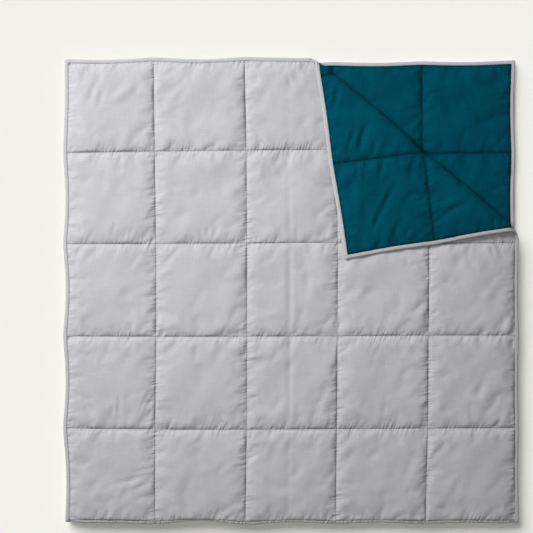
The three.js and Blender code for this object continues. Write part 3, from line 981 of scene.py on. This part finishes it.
# %% The teal sheet
BACK_SEED = 29
BACK_WRINKLES = 1.3
BACK_PUCKERS = 1.3
BACK_SOFT_COUNT = 4
BACK_LEAN = 22.0             # turned back, such a wrinkle stands nearly upright
BACK_FINE = 50
panel_us = across_stations([HIDDEN, HIDDEN, 16, BACK_FINE, BACK_FINE])
panel_vs = along_stations([HIDDEN, HIDDEN, 5, BACK_FINE, BACK_FINE],
                          [HIDDEN, HIDDEN, 14, BACK_FINE, BACK_FINE])
back_relief = BACK_PUCKERS * relief(panel_us, panel_vs, BACK_SEED, BACK_SOFT_COUNT, BACK_LEAN)
back_relief += BACK_WRINKLES * cloth_relief(cloth_wrinkles.T, panel_us, panel_vs)
press_by_hand(back_relief, panel_us, panel_vs, CORNER_WRINKLES, True)
back_relief = hold_at_lines(back_relief, panel_us, panel_vs)
u_grid, v_grid = grid_of(panel_us, panel_vs)
panel_inner_w = back_height(u_grid, v_grid) - PANEL_GAP - back_relief
panel_inner_w = np.minimum(panel_inner_w, filling_back(u_grid, v_grid) - PANEL_GAP)
panel_outer_w = panel_inner_w - PANEL_THICK
panel_points = np.concatenate([
    place(u_grid, v_grid, panel_outer_w).reshape(-1, 3),
    place(u_grid, v_grid, panel_inner_w).reshape(-1, 3)])
rows, columns = u_grid.shape
panel_faces = [*grid_faces(rows, columns, flip=True)]
panel_faces += [*grid_faces(rows, columns, rows * columns)]
outer_ring, inner_ring = outline(rows, columns), outline(rows, columns, rows * columns)
panel_faces += [
    (inner_ring[(k + 1) % len(inner_ring)], inner_ring[k], outer_ring[k],
     outer_ring[(k + 1) % len(outer_ring)])
    for k in range(len(outer_ring))
]
both_places = np.concatenate([rows_of(u_grid, v_grid)] * 2)
teal_reverse = make_cloth("teal_reverse", panel_points, panel_faces, both_places)

# %% [markdown]
# ## The binding
# A strip of the grey cloth is folded over the raw edge and sewn down through all the layers. It is
# one closed loop: its cross-section is drawn once, from the inner edge on the grey side, round the
# outline, to the inner edge on the teal side and back along the inside of the fold. The corners are
# mitred, because the section's distance from the outline is the same on both sides of a corner.

# %% One section, carried round the outline
BINDING_LIFT = 0.2
BINDING_STEP = 5.0
BINDING_SWELL = 0.22
MITRE_ROOM = 1.5             # kept free beside a corner, so that the mitre doesn't fold over
FROM_FOLD = 8.0              # where the even steps start past the fold
FACE_IN = FACE_AT_LINE + BINDING_LIFT
BACK_IN = -BACK_AT_LINE - PANEL_GAP - PANEL_THICK - BINDING_LIFT
SECTION = np.array([          # distance in from the outline, height over the cloth's middle
    [9.6, FACE_IN + 0.1], [9.4, FACE_IN + 0.4], [8.2, FACE_IN + 0.65], [6.2, FACE_IN + 0.85],
    [3.8, FACE_IN + 0.8], [1.8, FACE_IN + 0.35], [0.5, FACE_IN - 0.6], [0.0, 0.0],
    [0.5, BACK_IN + 0.6], [1.8, BACK_IN - 0.45], [3.8, BACK_IN - 1.05], [6.2, BACK_IN - 1.25],
    [7.9, BACK_IN - 0.95], [9.1, BACK_IN - 0.85], [9.6, BACK_IN - 0.4], [9.2, BACK_IN],
    [6.0, BACK_IN], [1.8, BACK_IN], [1.8, FACE_IN], [6.0, FACE_IN], [9.2, FACE_IN],
])


def ring_places(spacing):
    """Places round the outline, with none so near a corner that the mitre would fold over."""
    def side(low, high):
        count = int(round((high - low) / spacing))
        return np.linspace(low, high, count + 1)
    clear = BINDING_WIDTH + MITRE_ROOM
    us = np.concatenate([[0.0], side(clear, CLOTH_WIDTH - clear), [CLOTH_WIDTH]])
    vs = side(-LOWER_LENGTH + clear, -FOLD_ARC)
    vs = np.concatenate([vs, FOLD_START - FOLD_ARC * np.linspace(1, 0, FOLD_STEPS)[1:]])
    vs = np.concatenate([[-LOWER_LENGTH], vs, side(FROM_FOLD, UPPER_LENGTH - clear), [UPPER_LENGTH]])
    low = [(u, -LOWER_LENGTH) for u in us[:-1]]
    right = [(CLOTH_WIDTH, v) for v in vs[:-1]]
    high = [(u, UPPER_LENGTH) for u in us[:0:-1]]
    left = [(0.0, v) for v in vs[:0:-1]]
    return np.array(low + right + high + left)


def inset(ring, distance):
    u = np.clip(ring[:, 0], distance, CLOTH_WIDTH - distance)
    v = np.clip(ring[:, 1], -LOWER_LENGTH + distance, UPPER_LENGTH - distance)
    return u, v


def ripple(ring, seed):
    """Slow uneven swelling along the strip, as thread draws it in here and there."""
    draw = np.random.default_rng(seed)
    steps = np.linalg.norm(np.roll(ring, -1, axis=0) - ring, axis=1)
    run = np.cumsum(steps)
    waves = [(draw.uniform(14, 60), draw.uniform(0, 2 * np.pi)) for _ in range(9)]
    return sum(np.sin(2 * np.pi * run / length + start) for length, start in waves) / 4.0


ring = ring_places(BINDING_STEP)
swell = ripple(ring, seed=5)
loops = []
for distance, height in SECTION:
    u, v = inset(ring, distance)
    outer = height > FACE_IN + 0.05 or height < BACK_IN - 0.05
    lift = BINDING_SWELL * swell * np.sign(height) if outer else 0.0
    loops.append((u, v, place(u, v, height + lift)))
section_count = len(SECTION)
binding_points = np.stack([points for _, _, points in loops], axis=1).reshape(-1, 3)
binding_places = np.stack([rows_of(u, v) for u, v, _ in loops], axis=1).reshape(-1, 2)
binding_faces = []
for k in range(len(ring)):
    after = (k + 1) % len(ring)
    for s in range(section_count):
        t = (s + 1) % section_count
        binding_faces.append((k * section_count + s, k * section_count + t,
                              after * section_count + t, after * section_count + s))
edge_binding = make_mesh("edge_binding", binding_points, binding_faces, binding_places)

# %% [markdown]
# ## Nodes written as sums
# Thread and materials are both made by trees of nodes. One small class wraps a node's output, so
# that a pattern can be written as a sum. Another adds nodes and joins their sockets.

# %% A socket that can be added and multiplied
class Value:
    """One output of a node. Sums and products of Values add Math nodes."""

    def __init__(self, nodes, socket):
        self.nodes = nodes
        self.socket = socket

    def math(self, operation, *others):
        return self.nodes.add("ShaderNodeMath", {"operation": operation}, self, *others)["Value"]

    def __add__(self, other):
        return self.math("ADD", other)

    def __mul__(self, other):
        return self.math("MULTIPLY", other)

    def __sub__(self, other):
        return self.math("SUBTRACT", other)

    def clamped(self):
        return self.nodes.add("ShaderNodeClamp", {}, self)["Result"]


class Outputs:
    def __init__(self, nodes, made):
        self.nodes = nodes
        self.made = made

    def __getitem__(self, name):
        return Value(self.nodes, self.made.outputs[name])


class Nodes:
    """A tree, with a method that adds any node and sets or joins its sockets."""

    def __init__(self, tree):
        self.tree = tree

    def add(self, kind, settings, *values, **named):
        made = self.tree.nodes.new(kind)
        for setting, value in settings.items():
            setattr(made, setting, value)
        for socket, value in [*enumerate(values), *named.items()]:
            key = socket.replace("_", " ") if isinstance(socket, str) else socket
            self.join(made.inputs[key], value)
        return Outputs(self, made)

    def join(self, socket, value):
        if isinstance(value, Value):
            self.tree.links.new(value.socket, socket)
        else:
            socket.default_value = value


# %% [markdown]
# ## Thread
# Every sewn line that shows and both sides of the binding carry a row of small stitches. Each row
# is a path on the cloth. One Geometry Nodes tree walks the path in steps of a stitch, sets a small
# bead of thread at each step, turned along the path and flat on the cloth, and makes it all real
# mesh.

# %% A tree that sews along paths
TREE_INPUTS = {
    "Geometry": "NodeSocketGeometry",
    "Step": "NodeSocketFloat",
    "Stitch": "NodeSocketVector",
    "Uneven": "NodeSocketFloat",
    "Seed": "NodeSocketInt",
    "Thread": "NodeSocketMaterial",
}


def uneven_size(nodes, given):
    """The size of each stitch, a little more or less than the size given."""
    less, more = [nodes.add("ShaderNodeMath", {"operation": way}, 1.0, given["Uneven"])["Value"]
                  for way in ("SUBTRACT", "ADD")]
    chance = nodes.add("FunctionNodeRandomValue", {"data_type": "FLOAT"}, Seed=given["Seed"]).made
    low, high = [socket for socket in chance.inputs
                 if socket.enabled and socket.name in ("Min", "Max")]
    nodes.join(low, less)
    nodes.join(high, more)
    drawn = [socket for socket in chance.outputs if socket.enabled][0]
    return nodes.add("ShaderNodeVectorMath", {"operation": "SCALE"}, given["Stitch"],
                     Scale=Value(nodes, drawn))["Vector"]


def sewing_tree():
    tree = bpy.data.node_groups.new("sewing", "GeometryNodeTree")
    nodes = Nodes(tree)
    sockets = {}
    for name, kind in TREE_INPUTS.items():
        sockets[name] = tree.interface.new_socket(name, in_out="INPUT", socket_type=kind).identifier
    tree.interface.new_socket("Geometry", in_out="OUTPUT", socket_type="NodeSocketGeometry")

    given = nodes.add("NodeGroupInput", {})
    path = nodes.add("GeometryNodeMeshToCurve", {}, Mesh=given["Geometry"])["Curve"]
    steps = nodes.add("GeometryNodeResampleCurve", {"mode": "LENGTH"},
                      Curve=path, Length=given["Step"])["Curve"]
    bead = nodes.add("GeometryNodeMeshIcoSphere", {}, Radius=0.5, Subdivisions=1)["Mesh"]
    round_bead = nodes.add("GeometryNodeSetShadeSmooth", {}, Geometry=bead)[0]
    away = nodes.add("GeometryNodeInputNamedAttribute", {"data_type": "FLOAT_VECTOR"},
                     Name="away")["Attribute"]
    tangent = nodes.add("GeometryNodeInputTangent", {})["Tangent"]
    turn = nodes.add("FunctionNodeAxesToRotation", {"primary_axis": "X", "secondary_axis": "Z"},
                     Primary_Axis=tangent, Secondary_Axis=away)["Rotation"]
    sewn = nodes.add("GeometryNodeInstanceOnPoints", {}, Points=steps, Instance=round_bead,
                     Rotation=turn, Scale=uneven_size(nodes, given))["Instances"]
    real = nodes.add("GeometryNodeRealizeInstances", {}, Geometry=sewn)["Geometry"]
    finished = nodes.add("GeometryNodeSetMaterial", {}, Geometry=real, Material=given["Thread"])
    nodes.add("NodeGroupOutput", {}, Geometry=finished["Geometry"])
    return tree, sockets


SEWING, SEWING_SOCKETS = sewing_tree()


# %% Paths on the cloth
STITCH_STEP = 3.1
STITCH_SIZE = (2.9, 0.62, 0.5)
STITCH_UNEVEN = 0.12


def walk(start, end, spacing=4.0):
    """Places from start to end on the flat cloth."""
    start, end = np.array(start, float), np.array(end, float)
    count = max(2, int(np.linalg.norm(end - start) / spacing) + 1)
    return start + (end - start) * np.linspace(0, 1, count)[:, None]


def stitch_path(name, runs, height):
    """Runs of flat places as one path, each point with the way that faces off the cloth."""
    points, away, edges = [], [], []
    for run in runs:
        u, v = run[:, 0], run[:, 1]
        w = height(u, v)
        here = place(u, v, w)
        side = place(u, v, w + np.sign(w.mean())) - here
        first = sum(len(part) for part in points)
        points.append(here)
        away.append(side / np.maximum(np.linalg.norm(side, axis=1, keepdims=True), 0.05))
        edges += [(first + k, first + k + 1) for k in range(len(run) - 1)]
    mesh = bpy.data.meshes.new(name + "_path")
    mesh.from_pydata((np.concatenate(points) * MM).tolist(), edges, [])
    outward = mesh.attributes.new("away", "FLOAT_VECTOR", "POINT")
    give(outward.data, "vector", np.concatenate(away))
    return put_in_scene(name + "_path", mesh)


def sew(name, runs, height, thread, seed):
    """Sews along runs of flat places, at a height over the middle of the filling."""
    guide = stitch_path(name, runs, height)
    sewing = guide.modifiers.new("sewing", "NODES")
    sewing.node_group = SEWING
    for socket, value in (("Step", STITCH_STEP * MM), ("Uneven", STITCH_UNEVEN), ("Seed", seed),
                          ("Stitch", [size * MM for size in STITCH_SIZE]), ("Thread", thread)):
        sewing[SEWING_SOCKETS[socket]] = value
    seen = guide.evaluated_get(bpy.context.evaluated_depsgraph_get())
    stitches = bpy.data.meshes.new_from_object(seen)
    path = guide.data
    bpy.data.objects.remove(guide)
    bpy.data.meshes.remove(path)
    stitches.name = name
    print(name + ":", triangles_of(stitches), "triangles")
    return put_in_scene(name, stitches)


def line_runs(low_u, low_v=-math.inf, high_v=math.inf):
    """The sewn lines right of low_u and between low_v and high_v, inside the binding."""
    near = BOX_START - 0.6
    v_end, v_start = min(high_v, UPPER_LENGTH - near), max(low_v, near - LOWER_LENGTH)
    runs = [walk((u, v_start), (u, v_end)) for u in SEWN_U if u > low_u]
    runs += [walk((max(low_u, near), v), (CLOTH_WIDTH - near, v))
             for v in SEWN_V if low_v < v < high_v]
    return runs


def binding_runs(inset_by):
    low_u, high_u = inset_by, CLOTH_WIDTH - inset_by
    low_v, high_v = -LOWER_LENGTH + inset_by, UPPER_LENGTH - inset_by
    corners = [(low_u, low_v), (high_u, low_v), (high_u, high_v), (low_u, high_v), (low_u, low_v)]
    return [walk(a, b) for a, b in zip(corners, corners[1:])]


# %% [markdown]
# ## Materials
# All the cloth is a plain weave, so one function makes the grey, the teal and the binding. Patterns
# read the cloth's own UV map, in metres, and so they follow the folds as real threads do.
#
# Beside a sewn line the thread nips the cloth in at every stitch or two, and the groove holds a
# little shade, which is painted into the colour as a darker band. Each point knows how far it is
# from the nearest line, so both are drawn there.

# %% One material
class Finish(Nodes):
    """A material's nodes, with ways to feed its shader and to mix two colours."""

    def __init__(self, name, **shader_values):
        self.material = bpy.data.materials.new(name)
        self.material.use_nodes = True
        super().__init__(self.material.node_tree)
        self.shader = self.tree.nodes["Principled BSDF"]
        for socket, value in shader_values.items():
            self.feed(socket.replace("_", " "), value)

    def feed(self, name, value):
        self.join(self.shader.inputs[name], value)

    def mix(self, amount, first, second):
        made = self.add("ShaderNodeMix", {"data_type": "RGBA"}, Factor=amount).made
        colours = [socket for socket in made.inputs if socket.type == "RGBA"]
        self.join(colours[0], first)
        self.join(colours[1], second)
        return Value(self, [socket for socket in made.outputs if socket.type == "RGBA"][0])


def times(colour, share):
    return [part * share for part in colour[:3]] + [1]


# %% Plain-woven cloth
THREADS_PER_METRE = 2600.0
TICKS = ((0.0055, 0.006, 9.0), (0.012, 0.014, 9.0))   # pitch and reach in metres, depth


def noise(finish, spot, scale, detail, rough=0.6):
    return finish.add("ShaderNodeTexNoise", {"noise_dimensions": "2D"},
                      Vector=spot, Scale=scale, Detail=detail, Roughness=rough)["Fac"]


def drawn_noise(finish, x, y, detail=1.0):
    return noise(finish, finish.add("ShaderNodeCombineXYZ", {}, x, y)["Vector"], 1.0, detail)


def beside(finish, attribute, reach):
    """1 on a sewn line, falling off over reach."""
    off = finish.add("ShaderNodeAttribute", {"attribute_name": attribute})["Fac"]
    return (off * (-1 / reach)).math("EXPONENT")


def with_ticks(finish, height, u, v, strength):
    """Thread nips the cloth in at every stitch or two, so ticks run nearly square to each line."""
    for attribute, across, along in (("from_column", v - u * 0.15, u),
                                     ("from_row", u - v * 0.35, v)):
        busy = (drawn_noise(finish, across * 14.0, along * 5.0) * 3.0 - 0.9).clamped()
        for pitch, reach, depth in TICKS:
            nip = drawn_noise(finish, across * (1 / pitch), along * 18.0) - 0.5
            height = height + nip * busy * beside(finish, attribute, reach) * (depth * strength)
    return height


def cloth_finish(name, darker, lighter, weave_depth=0.05, sheen=0.08, gloss=0.15, ticks=1.0,
                 painted_line_shade=0.5, painted_shade_reach=0.0012):
    """A soft brushed plain weave, with slubs, slow changes of tone and painted seam shade."""
    finish = Finish(name, Roughness=0.9, Sheen_Weight=sheen, Sheen_Roughness=0.45,
                    Specular_IOR_Level=gloss)
    cloth = finish.add("ShaderNodeUVMap", {"uv_map": "cloth"})["UV"]
    split = finish.add("ShaderNodeSeparateXYZ", {}, cloth)
    u, v = split["X"], split["Y"]
    warp = (u * (math.pi * THREADS_PER_METRE)).math("SINE")
    weft = (v * (math.pi * THREADS_PER_METRE)).math("SINE")
    weave = warp * weft

    slub = drawn_noise(finish, u * 420.0, v * 24.0, 2.0)
    slub = slub + drawn_noise(finish, u * 24.0, v * 420.0, 2.0)
    broad = noise(finish, cloth, 9.0, 3.0, 0.55)
    fuzz = noise(finish, cloth, 900.0, 2.0)
    shade = (broad * 0.5 + slub * 0.5 + fuzz * 0.12 + weave * 0.05 - 0.31).clamped()
    tint = finish.mix(shade, darker, lighter)
    height = weave * weave_depth + slub * 0.10 + fuzz * 0.06
    if ticks:
        height = with_ticks(finish, height, u, v, ticks)
        # Painted shade: the colour darkens in a band beside each sewn line, where the groove holds
        # shade
        seam = beside(finish, "from_column", painted_shade_reach) + beside(finish, "from_row", painted_shade_reach)
        tint = finish.mix((seam * painted_line_shade).clamped(), tint, times(darker, 0.35))
    finish.feed("Base Color", tint)
    finish.feed("Roughness", shade * 0.1 + 0.84)
    bump = finish.add("ShaderNodeBump", {}, Strength=0.55, Distance=MM, Height=height)
    finish.feed("Normal", bump["Normal"])
    return finish.material


grey_cloth = cloth_finish("grey_cloth", (0.36, 0.36, 0.37, 1), (0.46, 0.46, 0.47, 1))
# The teal cloth has a darker and wider band of painted shade beside its sewn lines
teal_cloth = cloth_finish("teal_cloth", (0.0, 0.034, 0.058, 1), (0.0, 0.072, 0.109, 1),
                          sheen=0.0, gloss=0.02, ticks=0.7, painted_line_shade=0.9,
                          painted_shade_reach=0.003)
binding_cloth = cloth_finish("binding_cloth", (0.35, 0.35, 0.36, 1), (0.45, 0.45, 0.46, 1),
                             weave_depth=0.07, ticks=0)
for piece, material in ((filled_body, grey_cloth), (teal_reverse, teal_cloth),
                        (edge_binding, binding_cloth)):
    piece.data.materials.append(material)


def thread_finish(name, colour):
    """Twisted thread, a little glossier than the cloth, with a fine change of shade."""
    finish = Finish(name, Roughness=0.6, Specular_IOR_Level=0.3, Sheen_Weight=0.1)
    spot = finish.add("ShaderNodeTexCoord", {})["Object"]
    twist = finish.add("ShaderNodeTexNoise", {}, Vector=spot, Scale=900.0, Detail=1.0)["Fac"]
    finish.feed("Base Color", finish.mix(twist, times(colour, 0.75), times(colour, 1.2)))
    return finish.material


grey_thread = thread_finish("grey_thread", (0.40, 0.40, 0.41))
seam_thread = thread_finish("seam_thread", (0.24, 0.24, 0.25))
# The teal thread is darker than the teal cloth, as dark as a seam's groove: its colour plus painted
# shade
teal_thread = thread_finish("teal_thread", (0.0002, 0.022, 0.038))
print("materials:", [m.name for m in bpy.data.materials])

# %% Sew the lines
FACE_THREAD_FROM = -1        # the lines of the upper half, from just past the last one
BACK_SHOWS_U = 560           # the teal side shows right of here
BACK_SHOWS_V = (-660, 600)   # and past here on the lower and the upper half
BACK_THREAD_W = -BACK_AT_LINE - PANEL_GAP - PANEL_THICK - 0.2
BINDING_SEAM_IN = 8.5
EDGE_THREAD_W = FACE_IN + 0.95
EDGE_BACK_THREAD_W = BACK_IN - 1.05


def face_thread_height(u, v):
    return FACE_AT_LINE - last_line_pull(v)


def level(height):
    return lambda u, v: height + 0 * u


face_runs = line_runs(0, low_v=FACE_THREAD_FROM)
back_runs = line_runs(BACK_SHOWS_U, low_v=BACK_SHOWS_V[1])
back_runs += line_runs(BACK_SHOWS_U, high_v=BACK_SHOWS_V[0])
edge_runs = binding_runs(BINDING_SEAM_IN)
edge_back = level(EDGE_BACK_THREAD_W)
face_thread = sew("face_thread", face_runs, face_thread_height, seam_thread, seed=3)
back_thread = sew("back_thread", back_runs, level(BACK_THREAD_W), teal_thread, seed=4)
edge_thread = sew("edge_thread", edge_runs, level(EDGE_THREAD_W), grey_thread, seed=5)
edge_back_thread = sew("edge_back_thread", edge_runs, edge_back, grey_thread, seed=6)

# %% [markdown]
# ## Floor, light and camera
# The photograph is a plain one from straight above, in soft light from the upper left. One large
# soft lamp makes that light and falls off towards the lower right. An even light from all sides
# and a small lamp over the middle lift its shadows. The floor has two lamps of its own: an even one
# without shadows keeps it pale, as on a lit table, and a low wide one lays the soft shadow to the
# right and below. The camera looks straight down.

# %% Floor
FLOOR_SIZE = 12.0
FLOOR_Z = -0.0004            # a hair under the cloth
floor_mesh = bpy.data.meshes.new("floor")
half = FLOOR_SIZE / 2
floor_mesh.from_pydata([(-half, -half, 0), (half, -half, 0), (half, half, 0), (-half, half, 0)],
                       [], [(0, 1, 2, 3)])
floor = put_in_scene("floor", floor_mesh)
floor.location.z = FLOOR_Z
floor_finish = Finish("floor_paper", Roughness=0.95, Specular_IOR_Level=0.1)
grain = floor_finish.add("ShaderNodeTexNoise", {}, Scale=300.0, Detail=2.0)["Fac"]
floor_finish.feed("Base Color", floor_finish.mix(grain, (0.872, 0.872, 0.812, 1),
                                                 (0.882, 0.882, 0.822, 1)))
floor_mesh.materials.append(floor_finish.material)


# %% Lamps
def light_only(lamp, pieces):
    """A lamp that lights only these pieces. Everything still casts its shadow."""
    group = bpy.data.collections.new(lamp.name + "_lights")
    for piece in pieces:
        group.objects.link(piece)
    lamp.light_linking.receiver_collection = group


def link_lamp(name, data, location, target=(0, 0, 0)):
    lamp = put_in_scene(name, data)
    lamp.location = location
    way = Vector(target) - Vector(location)
    lamp.rotation_euler = way.to_track_quat("-Z", "Y").to_euler()
    return lamp


def disk_lamp(name, size, power, location, target=(0, 0, 0)):
    data = bpy.data.lights.new(name, "AREA")
    data.shape = "DISK"
    data.size = size
    data.energy = power
    return link_lamp(name, data, location, target)


def sun_lamp(name, width, strength, elevation=90.0, azimuth=135.0, shadow=True):
    """Even light from the upper left. width is how large its disc looks, in degrees."""
    data = bpy.data.lights.new(name, "SUN")
    data.angle = math.radians(width)
    data.energy = strength
    data.use_shadow = shadow
    low, turn = math.cos(math.radians(elevation)), math.radians(azimuth)
    spot = (low * math.cos(turn), low * math.sin(turn), math.sin(math.radians(elevation)))
    return link_lamp(name, data, spot)


POOL_X = -0.15
POOL_Y = 0.17
key = disk_lamp("key", size=1.46, power=209.0, location=(-2.52, 2.18, 2.46))
pool = disk_lamp("pool", size=0.5, power=2.4, location=(POOL_X, POOL_Y, 1.02),
                 target=(POOL_X, POOL_Y, 0))
room_light = sun_lamp("room_light", width=179.0, strength=0.85)
floor_glow = sun_lamp("floor_glow", width=5.0, strength=0.92, shadow=False)
floor_sun = sun_lamp("floor_sun", width=52.0, strength=5.7, elevation=23.0, azimuth=124.0)

world = bpy.context.scene.world or bpy.data.worlds.new("room")
bpy.context.scene.world = world
world.use_nodes = True
background = world.node_tree.nodes["Background"]
background.inputs["Color"].default_value = (0.88, 0.88, 0.82, 1)
background.inputs["Strength"].default_value = 1.0
world.cycles_visibility.diffuse = False
world.cycles_visibility.glossy = False
bpy.context.scene.view_settings.view_transform = "Standard"

# %% Camera
PHOTO_SIDE = 533
MM_PER_PIXEL = 2.5
CAMERA_SPOT = (-62.5, 61.75, 2600.0)
CLOTH_TOP = 25.0
camera_data = bpy.data.cameras.new("camera")
camera_data.sensor_width = 36.0
frame_width = PHOTO_SIDE * MM_PER_PIXEL
camera_data.lens = camera_data.sensor_width * (CAMERA_SPOT[2] - CLOTH_TOP) / frame_width
camera = put_in_scene("camera", camera_data)
camera.location = [value * MM for value in CAMERA_SPOT]
bpy.context.scene.camera = camera
print(f"lens {camera_data.lens:.2f} mm")

# %% [markdown]
# ## The one body
# Every piece rides on the one body. The solids of the body, the teal sheet and the binding are
# hidden.

# %% Bodies
threads = [face_thread, back_thread, edge_thread, edge_back_thread]
for lamp in (key, pool, room_light):
    light_only(lamp, [filled_body, teal_reverse, edge_binding, *threads])
for lamp in (floor_glow, floor_sun):
    light_only(lamp, [floor])
for piece, node, slot in (
    (filled_body, "quilted_body", "grey_cloth"),
    (teal_reverse, "back_panel", "teal_cloth"),
    (edge_binding, "binding", "binding_cloth"),
):
    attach(piece, "root")
    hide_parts(node)
for piece, slot in ((face_thread, "grey_cloth"), (back_thread, "teal_cloth"),
                    (edge_thread, "binding_cloth"), (edge_back_thread, "binding_cloth")):
    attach(piece, "root")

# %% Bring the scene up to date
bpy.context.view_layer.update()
